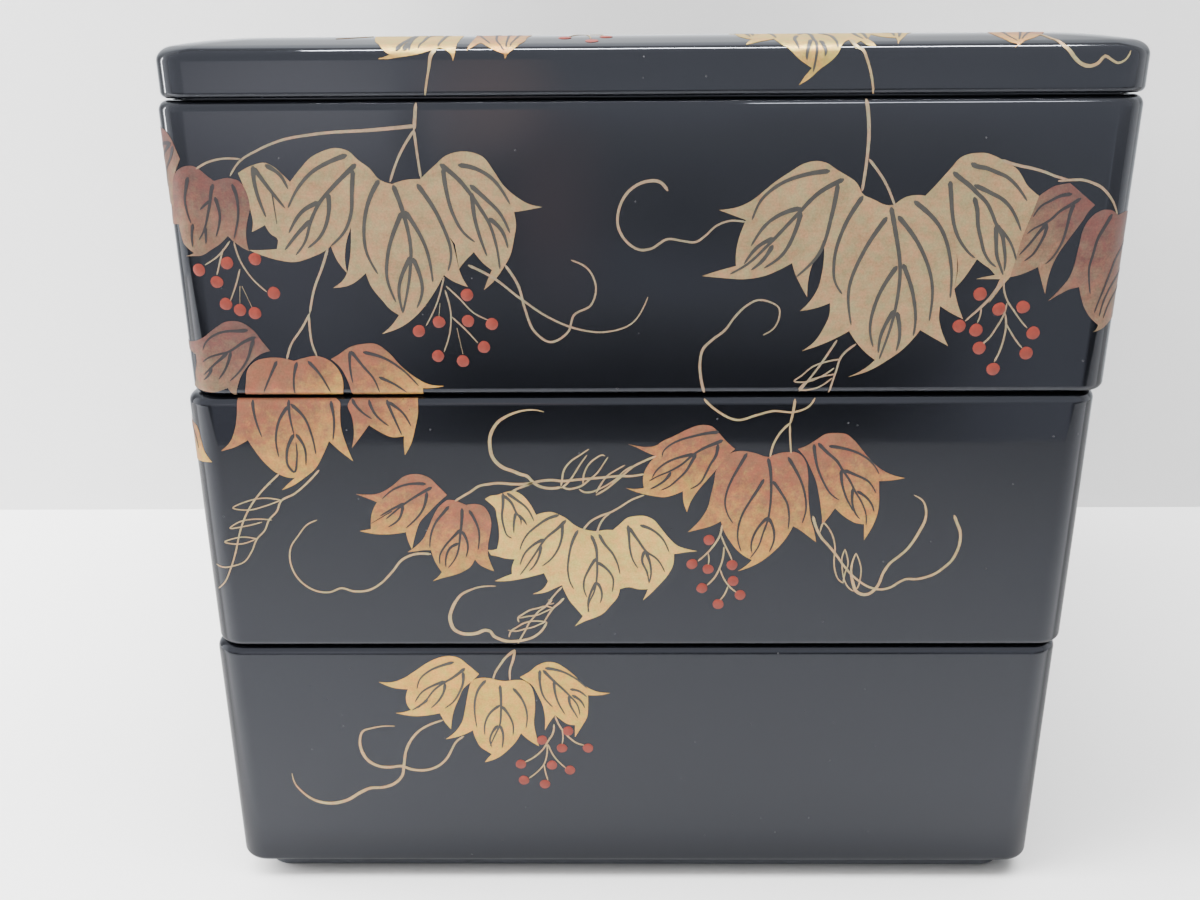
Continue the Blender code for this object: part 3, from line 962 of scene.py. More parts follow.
class Outside:
    """A piece's outer face, unrolled: along it from the middle of the front, and up it."""

    def __init__(self, node, hangs, profile, reach):
        low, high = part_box(node)
        self.node = node
        self.middle = (low.x + high.x) / 2
        self.half = (high.x - low.x) / 2
        self.edge = low.z + hangs
        self.straight = self.half - CORNER_RADIUS
        self.profile = profile
        self.reach = reach

    def roll(self, along, up, proud=0.0):
        """The point of the row's frame that lies there, standing proud of the face."""
        inset, height, tilt = self.profile(up)
        out = proud * math.cos(tilt) - inset
        over = abs(along) - self.straight
        turn = min(max(over / CORNER_RADIUS, 0.0), math.pi / 2)
        beyond = max(over - CORNER_RADIUS * math.pi / 2, 0.0)
        reach = CORNER_RADIUS + out
        x = self.straight + min(over, 0.0) + reach * math.sin(turn)
        y = beyond - self.straight - reach * math.cos(turn)
        z = self.edge + height + proud * math.sin(tilt)
        return Vector((self.middle + math.copysign(x, along), y, z))

    def unroll(self, pixel):
        """Where on the front or its rounded corners a pixel of the photograph falls."""
        across, down = pixel
        ray = GAZE @ Vector((across - PHOTO_SIZE[0] / 2, PHOTO_SIZE[1] / 2 - down,
                             -FOCAL_PIXELS))
        eye = EYE - Vector((self.middle, 0.0, self.edge))
        ray /= ray.y
        along = eye.x + ray.x * (-self.half - eye.y)
        side = math.copysign(1.0, along)
        centre = Vector((side * self.straight, -self.straight))
        across = eye.to_2d() - centre
        edge_turn = (math.atan2(side * across.x, -across.y)
                     + math.acos(CORNER_RADIUS / across.length))
        edge = centre + CORNER_RADIUS * Vector((side * math.sin(edge_turn),
                                                -math.cos(edge_turn)))
        edge_on_wall = eye.x + (edge.x - eye.x) * (-self.half - eye.y) / (edge.y - eye.y)
        if abs(along) > abs(edge_on_wall):
            depth = edge.y
            past = abs(along) - abs(edge_on_wall)
            along = side * (self.straight + CORNER_RADIUS * edge_turn + past)
        elif abs(along) > self.straight:
            a = ray.x ** 2 + 1
            b = across.x * ray.x + across.y
            c = across.length_squared - CORNER_RADIUS ** 2
            depth = eye.y + (-b - math.sqrt(max(b * b - a * c, 0.0))) / a
            out = side * (eye.x + ray.x * (depth - eye.y)) - self.straight
            turn = math.atan2(out, -self.straight - depth)
            along = side * (self.straight + CORNER_RADIUS * turn)
        else:
            up = self.climb(eye, ray.z)
            depth = self.profile(up)[0] - self.half
            return Vector((eye.x + ray.x * (depth - eye.y), up))
        return Vector((along, eye.z + ray.z * (depth - eye.y)))

    def places(self, run):
        """Where the pixels of a run, written as x and y in turn, fall."""
        return [self.unroll(pixel) for pixel in zip(run[::2], run[1::2])]

    def climb(self, eye, slope):
        """How far up the face a ray that leaves the eye at this slope meets it."""
        low, high = 0.0, self.reach
        if self.above(high, eye, slope) > 0:
            return high + self.above(high, eye, slope) * PAST_THE_EDGE
        for _ in range(24):
            up = (low + high) / 2
            if self.above(up, eye, slope) > 0:
                low = up
            else:
                high = up
        return low

    def above(self, up, eye, slope):
        """How far over the face at that length the ray passes."""
        inset, height, _ = self.profile(up)
        return eye.z + slope * (inset - self.half - eye.y) - height


def tier_profile(up):
    """A tier's face at a height: how far in it lies, how high, and its tilt."""
    tilt = 0.0
    radius = 0.0
    if up < BASE_ROUND:
        radius = BASE_ROUND
        tilt = math.asin(max(up / BASE_ROUND - 1, -1.0))
    if up > TIER_HEIGHT - MOUTH_ROUND:
        radius = MOUTH_ROUND
        tilt = math.asin(min((up - TIER_HEIGHT) / MOUTH_ROUND + 1, 1.0))
    return radius * (1 - math.cos(tilt)), up, tilt


def lid_profile(up):
    """The lid's face at a length along it: up the side, round the shoulder, then inwards."""
    if up < LID_LOWER_ROUND:
        tilt = math.asin(max(up / LID_LOWER_ROUND - 1, -1.0))
        return LID_LOWER_ROUND * (1 - math.cos(tilt)), up, tilt
    if up < LID_SIDE_TOP:
        return 0.0, up, 0.0
    tilt = min((up - LID_SIDE_TOP) / LID_SHOULDER, math.pi / 2 - CROWN_SLOPE)
    inset = LID_SHOULDER * (1 - math.cos(tilt))
    height = LID_SIDE_TOP + LID_SHOULDER * math.sin(tilt)
    run = up - LID_SIDE_TOP - LID_SHOULDER * tilt
    if run > 0:
        share = min(run / CROWN_REACH, 1.0)
        inset += run
        height += CROWN_RISE * (1 - (1 - share) ** 2)
        tilt = math.pi / 2 - CROWN_SLOPE * (1 - share)
    return inset, height, tilt


OUTSIDES = {
    "bottom_tier": Outside("bottom_tier", FOOT_HEIGHT, tier_profile, TIER_HEIGHT),
    "middle_tier": Outside("middle_tier", FOOT_HEIGHT, tier_profile, TIER_HEIGHT),
    "top_tier": Outside("top_tier", FOOT_HEIGHT, tier_profile, TIER_HEIGHT),
    "lid": Outside("lid", RIM_DEPTH, lid_profile, LID_CROWN_END),
}


def offset_corner(inset):
    return max(CORNER_RADIUS - inset, TIGHTEST_CORNER)


def rounded_square(half, radius, z):
    """Points round a square, counter-clockwise from above."""
    points = []
    centre = half - radius
    for corner in range(4):
        turn = corner * math.pi / 2 + math.pi / 4
        cx = centre * math.copysign(1, math.cos(turn))
        cy = centre * math.copysign(1, math.sin(turn))
        for step in range(CORNER_STEPS + 1):
            angle = (corner + step / CORNER_STEPS) * math.pi / 2
            points.append((cx + radius * math.cos(angle), cy + radius * math.sin(angle), z))
    return points


def arc(centre, radius, start, end, steps=ROUND_STEPS):
    """Stations along an arc, in degrees from straight inwards."""
    stations = []
    for step in range(steps + 1):
        angle = math.radians(start + (end - start) * step / steps)
        stations.append((centre[0] + radius * math.cos(angle),
                         centre[1] + radius * math.sin(angle)))
    return stations


def hanging_ring(outer, inner, bottom):
    """Stations down the inside of a foot or rim and up its outside."""
    return [(inner, bottom + RING_EDGE), (inner - RING_EDGE, bottom),
            (outer + RING_EDGE, bottom), (outer, bottom + RING_EDGE)]


def cornered(stations, corner):
    """Add each square's corner radius, from a function of its inset."""
    return [(inset, height, corner(inset)) for inset, height in stations]


def tier_stations():
    """Inset, height and corner radius, from under the tier's floor round to its top."""
    outer = TIER_WALL + FOOT_CLEARANCE
    inner = outer + FOOT_WIDTH
    foot = [(inner, 0.0)] + hanging_ring(outer, inner, -FOOT_HEIGHT) + [(outer, 0.0)]
    walls = arc((BASE_ROUND, BASE_ROUND), BASE_ROUND, 270, 180)
    walls += arc((MOUTH_ROUND, TIER_HEIGHT - MOUTH_ROUND), MOUTH_ROUND, 180, 90)
    walls += arc((TIER_WALL - MOUTH_INNER_ROUND, TIER_HEIGHT - MOUTH_INNER_ROUND),
                 MOUTH_INNER_ROUND, 90, 0, steps=4)
    walls += arc((TIER_WALL + FLOOR_FILLET, TIER_FLOOR + FLOOR_FILLET), FLOOR_FILLET, 180, 270)
    round_foot = cornered(foot, lambda inset: max(FOOT_CORNER + outer - inset, TIGHTEST_CORNER))
    return round_foot + cornered(walls, offset_corner)


def lid_stations():
    """The same for the lid, from under its panel round to the middle of its top."""
    rim_outer = TIER_WALL - LID_SETBACK + RIM_CLEARANCE
    rim_inner = rim_outer + RIM_WIDTH
    ceiling = LID_HEIGHT - LID_TOP
    under = arc((rim_inner + LID_FILLET, ceiling - LID_FILLET), LID_FILLET, 90, 180)
    under += hanging_ring(rim_outer, rim_inner, -RIM_DEPTH) + [(rim_outer, 0.0)]
    under += arc((LID_LOWER_ROUND, LID_LOWER_ROUND), LID_LOWER_ROUND, 270, 180)
    top = arc((LID_SHOULDER, LID_SIDE_TOP), LID_SHOULDER, 180, 90 + math.degrees(CROWN_SLOPE))
    start_inset, start_height = top[-1]
    for step in range(1, CROWN_STEPS + 1):
        share = step / CROWN_STEPS
        top.append((start_inset + CROWN_REACH * share,
                    start_height + CROWN_RISE * (1 - (1 - share) ** 2)))
    spread = (CROWN_CORNER - CORNER_RADIUS) / top[-1][0]
    return (cornered(under, offset_corner)
            + cornered(top, lambda inset: CORNER_RADIUS + spread * inset))


def lacquer_skin(node, stations):
    """A fine closed skin that stands for a solid, in black lacquer."""
    outside = OUTSIDES[node]
    bm = bmesh.new()
    loops = []
    for inset, height, radius in stations:
        points = rounded_square(outside.half - inset, radius, outside.edge + height)
        loops.append([bm.verts.new((outside.middle + x, y, z)) for x, y, z in points])
    count = len(loops[0])
    bm.faces.new(reversed(loops[0]))
    bm.faces.new(loops[-1])
    for lower, upper in zip(loops, loops[1:]):
        for i in range(count):
            j = (i + 1) % count
            bm.faces.new((lower[i], lower[j], upper[j], upper[i]))
    skin = piece_from(bm, node + "_lacquered", lacquer_material())
    even = skin.modifiers.new("Even normals", "WEIGHTED_NORMAL")
    even.keep_sharp = True
    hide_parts(node)
    return skin


def piece_from(bm, name, material):
    """Turn a bmesh into a shaded piece that rides on the box."""
    mesh = bpy.data.meshes.new(name)
    bm.to_mesh(mesh)
    bm.free()
    mesh.shade_smooth()
    mesh.set_sharp_from_angle(angle=math.radians(40))
    mesh.materials.append(material)
    piece = bpy.data.objects.new(name, mesh)
    bpy.context.scene.collection.objects.link(piece)
    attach(piece, "root")
    return piece


def smooth_run(points):
    """A smooth curve through points in small steps, and its last point."""
    if len(points) < 3:
        return points[:-1], points[-1]
    gaps = [(b - a).length for a, b in zip(points, points[1:])]
    slopes = [(b - a) / gap for a, b, gap in zip(points, points[1:], gaps)]
    pulls = [s.copy() for s in slopes[:1]]
    for i in range(1, len(slopes)):
        before, after = gaps[i - 1], gaps[i]
        pulls.append((slopes[i - 1] * after + slopes[i] * before) / (before + after))
    pulls.append(slopes[-1] * 1.5 - pulls[-1] * 0.5)
    pulls[0] = slopes[0] * 1.5 - pulls[1] * 0.5
    curve = []
    for i, gap in enumerate(gaps):
        steps = max(int(round(gap / STROKE_STEP)), 1)
        for k in range(steps):
            t = k / steps
            curve.append(points[i] * (2 * t ** 3 - 3 * t ** 2 + 1)
                         + pulls[i] * (gap * (t ** 3 - 2 * t ** 2 + t))
                         + points[i + 1] * (3 * t ** 2 - 2 * t ** 3)
                         + pulls[i + 1] * (gap * (t ** 3 - t ** 2)))
    return curve, points[-1]


def outline(runs):
    """A closed outline from runs that each start at a sharp tip."""
    closed = []
    for run, following in zip(runs, runs[1:] + runs[:1]):
        closed += smooth_run(run + following[:1])[0]
    return closed


def cut_lines(outside, points):
    """The lines, along or up a wall, where a flat coat has to bend with it."""
    along = [p.x for p in points]
    up = [p.y for p in points]
    lines = []
    for side in (-1, 1):
        for step in range(CORNER_STEPS + 1):
            place = side * (outside.straight + CORNER_RADIUS * math.pi / 2 * step / CORNER_STEPS)
            if min(along) < place < max(along):
                lines.append((Vector((place, 0, 0)), Vector((1, 0, 0))))
    bends = []
    if outside.profile is tier_profile:
        for step in range(ROUND_STEPS):
            angle = math.pi / 2 * step / ROUND_STEPS
            bends.append(BASE_ROUND * (1 - math.sin(angle)))
            bends.append(TIER_HEIGHT - MOUTH_ROUND * (1 - math.sin(angle)))
    else:
        for step in range(ROUND_STEPS + 1):
            share = step / ROUND_STEPS
            bends.append(LID_LOWER_ROUND * (1 - math.sin(share * math.pi / 2)))
            bends.append(LID_SIDE_TOP + LID_SHOULDER * share * (math.pi / 2 - CROWN_SLOPE))
        bends += [bends[-1] + CROWN_REACH * (step + 1) / CROWN_STEPS
                  for step in range(CROWN_STEPS)]
    for place in bends:
        if min(up) < place < max(up):
            lines.append((Vector((0, place, 0)), Vector((0, 1, 0))))
    return lines


def flat_coat(name, outside, edge, coat, material, stem, tip):
    """A coat of paint that fills an outline on a wall, bent round the wall's roundings."""
    bm = bmesh.new()
    face = bm.faces.new([bm.verts.new((p.x, p.y, 0)) for p in edge])
    face.normal_update()
    if face.normal.z < 0:
        face.normal_flip()
    bmesh.ops.triangulate(bm, faces=[face])
    for point, normal in cut_lines(outside, edge):
        bmesh.ops.bisect_plane(bm, geom=bm.verts[:] + bm.edges[:] + bm.faces[:],
                               plane_co=point, plane_no=normal)
    ripeness = bm.verts.layers.float.new("ripeness")
    axis = tip - stem
    for vert in bm.verts:
        vert[ripeness] = (vert.co.to_2d() - stem).dot(axis) / axis.length_squared
    top = bm.faces[:]
    rim = [e for e in bm.edges if e.is_boundary]
    below = {v: bm.verts.new(v.co) for v in bm.verts[:]}
    for under in below.values():
        under.co.z = -1
    for v, under in below.items():
        under[ripeness] = v[ripeness]
    for f in top:
        bm.faces.new([below[v] for v in reversed(f.verts)])
    for e in rim:
        loop = e.link_loops[0]
        a, b = loop.vert, loop.link_loop_next.vert
        bm.faces.new((b, a, below[a], below[b]))
    for v in bm.verts:
        proud = coat if v.co.z == 0 else -PAINT_SUNK
        v.co = outside.roll(v.co.x, v.co.y, proud)
    return piece_from(bm, name, material)


def at_share(values, share):
    """A value read from evenly spaced ones, at a share of the way through them."""
    place = min(max(share, 0.0), 1.0) * (len(values) - 1)
    i = min(int(place), len(values) - 2)
    return values[i] + (values[i + 1] - values[i]) * (place - i)


def brush_line(bm, outside, points, widths, coat):
    """A painted line: thick where the brush lands, fine where it lifts off."""
    curve, end = smooth_run(points)
    curve = curve + [end]
    length = sum((b - a).length for a, b in zip(curve, curve[1:]))
    travelled = 0.0
    rows = []
    for i, point in enumerate(curve):
        before, after = curve[max(i - 1, 0)], curve[min(i + 1, len(curve) - 1)]
        if i:
            travelled += (point - curve[i - 1]).length
        width = at_share(widths, travelled / length)
        blunt = min(travelled, length - travelled) / (width * 0.6)
        width *= 0.35 + 0.65 * math.sqrt(min(blunt, 1.0) * (2 - min(blunt, 1.0)))
        width *= 1 + 0.12 * noise.noise(Vector((point.x, point.y, 0)) * 900)
        across = (after - before).normalized().orthogonal() * width / 2
        low, high = point - across, point + across
        rows.append([bm.verts.new(outside.roll(low.x, low.y, -PAINT_SUNK)),
                     bm.verts.new(outside.roll(low.x, low.y, coat)),
                     bm.verts.new(outside.roll(high.x, high.y, coat)),
                     bm.verts.new(outside.roll(high.x, high.y, -PAINT_SUNK))])
    bm.faces.new(reversed(rows[0]))
    bm.faces.new(rows[-1])
    for a, b in zip(rows, rows[1:]):
        for i in range(4):
            j = (i + 1) % 4
            bm.faces.new((a[i], a[j], b[j], b[i]))


def berry_dot(bm, outside, centre, radius, seed):
    """One berry: a drop of paint, thicker in the middle and never quite round."""
    sides = 18
    rings = ((1.0, -PAINT_SUNK), (1.0, BERRY_COAT * 0.35), (0.8, BERRY_COAT * 0.75),
             (0.45, BERRY_COAT))
    loops = []
    for share, proud in rings:
        loop = []
        for i in range(sides):
            angle = math.tau * i / sides
            wobble = 1 + 0.09 * noise.noise(Vector((math.cos(angle), math.sin(angle), seed)))
            spot = centre + Vector((math.cos(angle), math.sin(angle))) * radius * wobble * share
            loop.append(bm.verts.new(outside.roll(spot.x, spot.y, proud)))
        loops.append(loop)
    bm.faces.new(reversed(loops[0]))
    bm.faces.new(loops[-1])
    for lower, upper in zip(loops, loops[1:]):
        for i in range(sides):
            j = (i + 1) % sides
            bm.faces.new((lower[i], lower[j], upper[j], upper[i]))


def shader_node(tree, kind, sockets=(), **settings):
    """A node whose sockets take values or the outputs of other nodes."""
    made = tree.nodes.new(kind)
    for name, value in settings.items():
        setattr(made, name, value)
    for name, value in dict(sockets).items():
        socket = made.inputs[name]
        if isinstance(value, bpy.types.NodeSocket):
            tree.links.new(value, socket)
        else:
            socket.default_value = value
    return made


def shader_group(name, inputs, outputs):
    """An empty node group with its sockets, and its two end nodes."""
    tree = bpy.data.node_groups.new(name, "ShaderNodeTree")
    for label, kind in inputs:
        tree.interface.new_socket(label, in_out="INPUT", socket_type=kind)
    for label, kind in outputs:
        tree.interface.new_socket(label, in_out="OUTPUT", socket_type=kind)
    return tree, tree.nodes.new("NodeGroupInput"), tree.nodes.new("NodeGroupOutput")


def arithmetic(tree, operation, first, second=0.0, third=0.0):
    sockets = {0: first, 1: second, 2: third}
    return shader_node(tree, "ShaderNodeMath", sockets, operation=operation).outputs[0]


def blend_colours(tree, share, first, second, way="MIX"):
    sockets = {0: share, 6: first, 7: second}
    return shader_node(tree, "ShaderNodeMix", sockets, data_type="RGBA",
                       blend_type=way).outputs[2]


def cloud(tree, place, scale, detail=2.0, roughness=0.5):
    """Soft noise, from 0 to 1, at a number of features to the metre."""
    sockets = {"Vector": place, "Scale": scale, "Detail": detail, "Roughness": roughness}
    return shader_node(tree, "ShaderNodeTexNoise", sockets).outputs["Fac"]


def spread(tree, value, low, high, first=0.0, last=1.0):
    """Stretch a value's range, clamped at both ends."""
    sockets = {0: value, 1: low, 2: high, 3: first, 4: last}
    return shader_node(tree, "ShaderNodeMapRange", sockets).outputs[0]


def stretched_place(tree, place, scale):
    return shader_node(tree, "ShaderNodeMapping", {"Vector": place, "Scale": scale}).outputs[0]


def polished_lacquer_group():
    """Haze, hairlines and dust on polished lacquer, and the slow waves of its ground."""
    name = "Polished lacquer"
    if name in bpy.data.node_groups:
        return bpy.data.node_groups[name]
    tree, start, end = shader_group(
        name, [("Colour", "NodeSocketColor"), ("Roughness", "NodeSocketFloat")],
        [("Colour", "NodeSocketColor"), ("Roughness", "NodeSocketFloat"),
         ("Height", "NodeSocketFloat")])
    place = shader_node(tree, "ShaderNodeTexCoord").outputs["Object"]
    haze = spread(tree, cloud(tree, place, 24, 4, 0.6), 0.5, 0.72)
    hair_place = stretched_place(tree, place, (60, 60, 2600))
    hairs = spread(tree, cloud(tree, hair_place, 1.0, 2, 0.5), 0.68, 0.78)
    specks = shader_node(tree, "ShaderNodeTexVoronoi", {"Vector": place, "Scale": 420.0})
    keep = shader_node(tree, "ShaderNodeTexWhiteNoise", {"Vector": specks.outputs["Position"]})
    chosen = arithmetic(tree, "GREATER_THAN", keep.outputs["Value"], 0.90)
    dust = arithmetic(tree, "MULTIPLY", chosen,
                      spread(tree, specks.outputs["Distance"], 0.05, 0.09, 1.0, 0.0))
    height = shader_node(tree, "ShaderNodeSeparateXYZ", {0: place}).outputs["Z"]
    # The bottom tier's foot is lighter grey and rougher than the rest of the lacquer.
    lighter_foot = spread(tree, height, FOOT_HEIGHT - 0.0005, FOOT_HEIGHT - 0.0012)
    rough = arithmetic(tree, "MULTIPLY_ADD", haze, 0.035, start.outputs["Roughness"])
    rough = arithmetic(tree, "MULTIPLY_ADD", lighter_foot, 0.4, rough)
    rough = arithmetic(tree, "MULTIPLY_ADD", hairs, 0.03, rough)
    rough = arithmetic(tree, "MULTIPLY_ADD", dust, 0.4, rough)
    dust_and_foot_tone = blend_colours(tree, arithmetic(tree, "MULTIPLY", dust, 0.14),
                          start.outputs["Colour"], (0.4, 0.4, 0.4, 1))
    dust_and_foot_tone = blend_colours(tree, lighter_foot, dust_and_foot_tone, (0.075, 0.08, 0.09, 1))
    tree.links.new(dust_and_foot_tone, end.inputs["Colour"])
    tree.links.new(rough, end.inputs["Roughness"])
    tree.links.new(cloud(tree, place, 34, 1.0), end.inputs["Height"])
    return tree


def metal_powder_group():
    """Metal powder laid with a brush: mottled, streaked across and grainy."""
    name = "Metal powder"
    if name in bpy.data.node_groups:
        return bpy.data.node_groups[name]
    tree, start, end = shader_group(
        name, [("Colour", "NodeSocketColor")],
        [("Colour", "NodeSocketColor"), ("Roughness", "NodeSocketFloat"),
         ("Height", "NodeSocketFloat")])
    place = shader_node(tree, "ShaderNodeTexCoord").outputs["Object"]
    grain = cloud(tree, place, 2400, 3, 0.75)
    streaks = cloud(tree, stretched_place(tree, place, (150, 150, 1500)), 1.0, 3, 0.65)
    patches = cloud(tree, place, 230, 4, 0.65)
    flecks = cloud(tree, place, 520, 3, 0.65)
    tone = arithmetic(tree, "MULTIPLY_ADD", grain, 1.00, 0.0)
    tone = arithmetic(tree, "MULTIPLY_ADD", streaks, 0.30, tone)
    tone = arithmetic(tree, "MULTIPLY_ADD", patches, 0.70, tone)
    shade = shader_node(tree, "ShaderNodeCombineColor", {0: tone, 1: tone, 2: tone}).outputs[0]
    warmth = blend_colours(tree, spread(tree, flecks, 0.35, 0.65), (1.14, 0.92, 0.90, 1),
                           (0.90, 1.07, 1.02, 1))
    toned = blend_colours(tree, 1.0, start.outputs["Colour"], shade, "MULTIPLY")
    tinted = blend_colours(tree, 1.0, toned, warmth, "MULTIPLY")
    rough = arithmetic(tree, "MULTIPLY_ADD", grain, 0.22, 0.34)
    tree.links.new(tinted, end.inputs["Colour"])
    tree.links.new(rough, end.inputs["Roughness"])
    tree.links.new(grain, end.inputs["Height"])
    return tree


def new_material(name, **constants):
    """A material with a Principled shader; constants sit on its own sockets."""
    if name in bpy.data.materials:
        return bpy.data.materials[name], None, None
    material = bpy.data.materials.new(name)
    material.use_nodes = True
    tree = material.node_tree
    shader = tree.nodes["Principled BSDF"]
    for label, value in constants.items():
        shader.inputs[label.replace("_", " ")].default_value = value
    return material, tree, shader


def add_bump(tree, shader, height, strength, distance):
    bump = shader_node(tree, "ShaderNodeBump", {"Height": height, "Strength": strength,
                                                "Distance": distance})
    tree.links.new(bump.outputs[0], shader.inputs["Normal"])


def lacquer_material():
    settings = lacquer_settings()
    material, tree, shader = new_material("Black lacquer", IOR=settings.index,
                                          Specular_Tint=(*settings.tint, 1))
    if tree is None:
        return material
    finish = shader_node(tree, "ShaderNodeGroup", node_tree=polished_lacquer_group())
    finish.inputs["Colour"].default_value = (*settings.colour, 1)
    finish.inputs["Roughness"].default_value = settings.roughness
    tree.links.new(finish.outputs["Colour"], shader.inputs["Base Color"])
    tree.links.new(finish.outputs["Roughness"], shader.inputs["Roughness"])
    add_bump(tree, shader, finish.outputs["Height"], 1.0, 0.000035)
    return material


def powder_material(name, colour, ripe=None):
    """Gold or copper paint; ripe is the colour that it turns to towards a leaf's tip."""
    material, tree, shader = new_material(name, Metallic=0.55)
    if tree is None:
        return material
    finish = shader_node(tree, "ShaderNodeGroup", node_tree=metal_powder_group())
    finish.inputs["Colour"].default_value = (*colour, 1)
    if ripe is not None:
        share = shader_node(tree, "ShaderNodeAttribute", attribute_name="ripeness").outputs["Fac"]
        place = shader_node(tree, "ShaderNodeTexCoord").outputs["Object"]
        mottle = cloud(tree, place, 420, 4, 0.75)
        share = arithmetic(tree, "MULTIPLY_ADD", mottle, 1.8, share)
        share = spread(tree, share, 1.1, 2.15)
        turned = blend_colours(tree, share, (*colour, 1), (*ripe, 1))
        tree.links.new(turned, finish.inputs["Colour"])
    tree.links.new(finish.outputs["Colour"], shader.inputs["Base Color"])
    tree.links.new(finish.outputs["Roughness"], shader.inputs["Roughness"])
    add_bump(tree, shader, finish.outputs["Height"], 0.5, 0.00003)
    return material


def gold_of(node):
    """The gold a piece is painted with, a tone for each tier; the lid's brighter, yellower gold is a
    painted highlight.
    """
    settings = paint_settings()
    golds = {"lid": settings.lid_gold_painted_highlight, "top_tier": settings.gold,
             "middle_tier": settings.middle_gold}
    return golds.get(node, settings.deep_gold)


def gold_material(node):
    return powder_material("Gold powder on " + node, gold_of(node))


def stem_material(node):
    """The gold of the stems, paler than the leaves'."""
    pale = [0.35 * channel + 0.65 * paler for channel, paler
            in zip(gold_of(node), paint_settings().stem)]
    return powder_material("Stem gold on " + node, pale)


def copper_material(node, dark=False):
    """Copper powder that turns to the piece's gold towards a leaf's tip; when dark, it is the darker
    copper of the leaves near the corners, painted shade, turning to a darker gold.
    """
    settings = paint_settings()
    name = ("Shaded copper powder on " if dark else "Copper powder on ") + node
    colour = settings.dark_copper if dark else settings.copper
    ripe = [0.5 * (a + b) for a, b in zip(colour, settings.gold)] if dark else settings.deep_gold
    return powder_material(name, colour, ripe)


def flat_paint_material(name, colour, roughness):
    """Plain paint with the faint unevenness of a brushed coat."""
    material, tree, shader = new_material(name, Roughness=roughness, Specular_IOR_Level=0.3)
    if tree is None:
        return material
    place = shader_node(tree, "ShaderNodeTexCoord").outputs["Object"]
    mottle = cloud(tree, place, 700, 3, 0.6)
    dark = tuple(channel * 0.7 for channel in colour)
    tone = blend_colours(tree, spread(tree, mottle, 0.3, 0.7), (*dark, 1), (*colour, 1))
    tree.links.new(tone, shader.inputs["Base Color"])
    add_bump(tree, shader, mottle, 0.4, 0.00004)
    return material


def berry_material():
    return flat_paint_material("Red berry paint", paint_settings().berry, 0.38)


def vein_material(on_gold):
    if on_gold:
        return flat_paint_material("Vein paint", paint_settings().vein, 0.42)
    return flat_paint_material("Vein paint on copper", paint_settings().copper_vein, 0.42)


class FOODBOX_OT_tiers(bpy.types.Operator):
    """Three lacquered tiers"""

    bl_idname = "food_box.tiers"
    bl_label = "Tiers"

    def execute(self, context):
        for node in ("bottom_tier", "middle_tier", "top_tier"):
            lacquer_skin(node, tier_stations())
        return {"FINISHED"}


class FOODBOX_OT_lid(bpy.types.Operator):
    """The lacquered lid"""

    bl_idname = "food_box.lid"
    bl_label = "Lid"

    def execute(self, context):
        lacquer_skin("lid", lid_stations())
        return {"FINISHED"}


class FOODBOX_OT_leaves(bpy.types.Operator):
    """Gold and copper leaves with their veins"""

    bl_idname = "food_box.leaves"
    bl_label = "Leaves"

    def execute(self, context):
        for i, (name, (node, paint, runs, veins, *fade)) in enumerate(LEAVES.items()):
            outside = OUTSIDES[node]
            coat = LEAF_COAT + i % 4 * COAT_STEP
            edge = outline([outside.places(run) for run in runs])
            stem = max(edge, key=lambda p: p.y)
            tip = min(edge, key=lambda p: p.y)
            if fade:
                stem, tip = outside.places(fade[0])
            on_gold = paint == "gold"
            if on_gold:
                material = gold_material(node)
            else:
                # the darker copper near the corners is painted shade
                material = copper_material(node, dark=paint == "dark_copper")
            flat_coat("leaf_" + name, outside, edge, coat, material, stem, tip)
            widths = BOLD_VEIN if on_gold and node in ("lid", "top_tier") else FINE_VEIN
            bm = bmesh.new()
            for layer, vein in enumerate(veins):
                brush_line(bm, outside, outside.places(vein), widths,
                           VEIN_COAT + layer * COAT_STEP)
            piece_from(bm, "veins_" + name, vein_material(on_gold))
        return {"FINISHED"}


class FOODBOX_OT_strokes(bpy.types.Operator):
    """Stems and tendrils in gold"""

    bl_idname = "food_box.strokes"
    bl_label = "Stems and tendrils"

    def execute(self, context):
        for i, (name, (node, widths, pixels)) in enumerate(STROKES.items()):
            outside = OUTSIDES[node]
            coat = STROKE_COAT + i % 8 * COAT_STEP
            bm = bmesh.new()
            brush_line(bm, outside, outside.places(pixels),
                       [weight * STROKE_WEIGHT for weight in widths], coat)
            piece_from(bm, "line_" + name, stem_material(node))
        return {"FINISHED"}


class FOODBOX_OT_berries(bpy.types.Operator):
    """Red berries, a drop of paint each"""

    bl_idname = "food_box.berries"
    bl_label = "Berries"

    def execute(self, context):
        for name, (node, radius, pixels) in BERRIES.items():
            outside = OUTSIDES[node]
            bm = bmesh.new()
            for seed, centre in enumerate(outside.places(pixels)):
                berry_dot(bm, outside, centre, radius / 1000, seed * 3.7)
            piece_from(bm, name, berry_material())
        return {"FINISHED"}


# The studio
FLOOR_REACH = 3.0
WALL_PLACE = 0.139
WALL_HEIGHT = 1.6
MIRRORED_SIDE = 0.9         # half the width of the floor that the lacquer mirrors
MIRRORED_EDGE = -0.42       # how far forward that floor goes; the room stands there
ROOM_HEIGHT = 1.6
ROOM_GLOW = 4.6             # brightness that a room tone of 1 stands for
FRONT = -0.0975             # where the painted faces stand

# What the front mirrors of the room, as brightness at rows of the photograph
ROOM_ROWS = ((-500, 2.2), (-60, 2.3), (20, 2.3), (60, 2.3), (104, 2.4), (128, 1.85),
             (172, 1.4), (236, 1.2), (300, 1.25), (340, 0.75), (372, 0.27), (404, 0.16),
             (425, 0.31), (441, 0.6))
# And what the lid mirrors of the wall behind it, at heights in metres
WALL_TONES = ((0.01, 2.1), (0.2, 1.9), (0.26, 1.2), (0.32, 1.5), (0.42, 2.4), (0.6, 3.6),
              (0.9, 4.5), (1.4, 4.6))
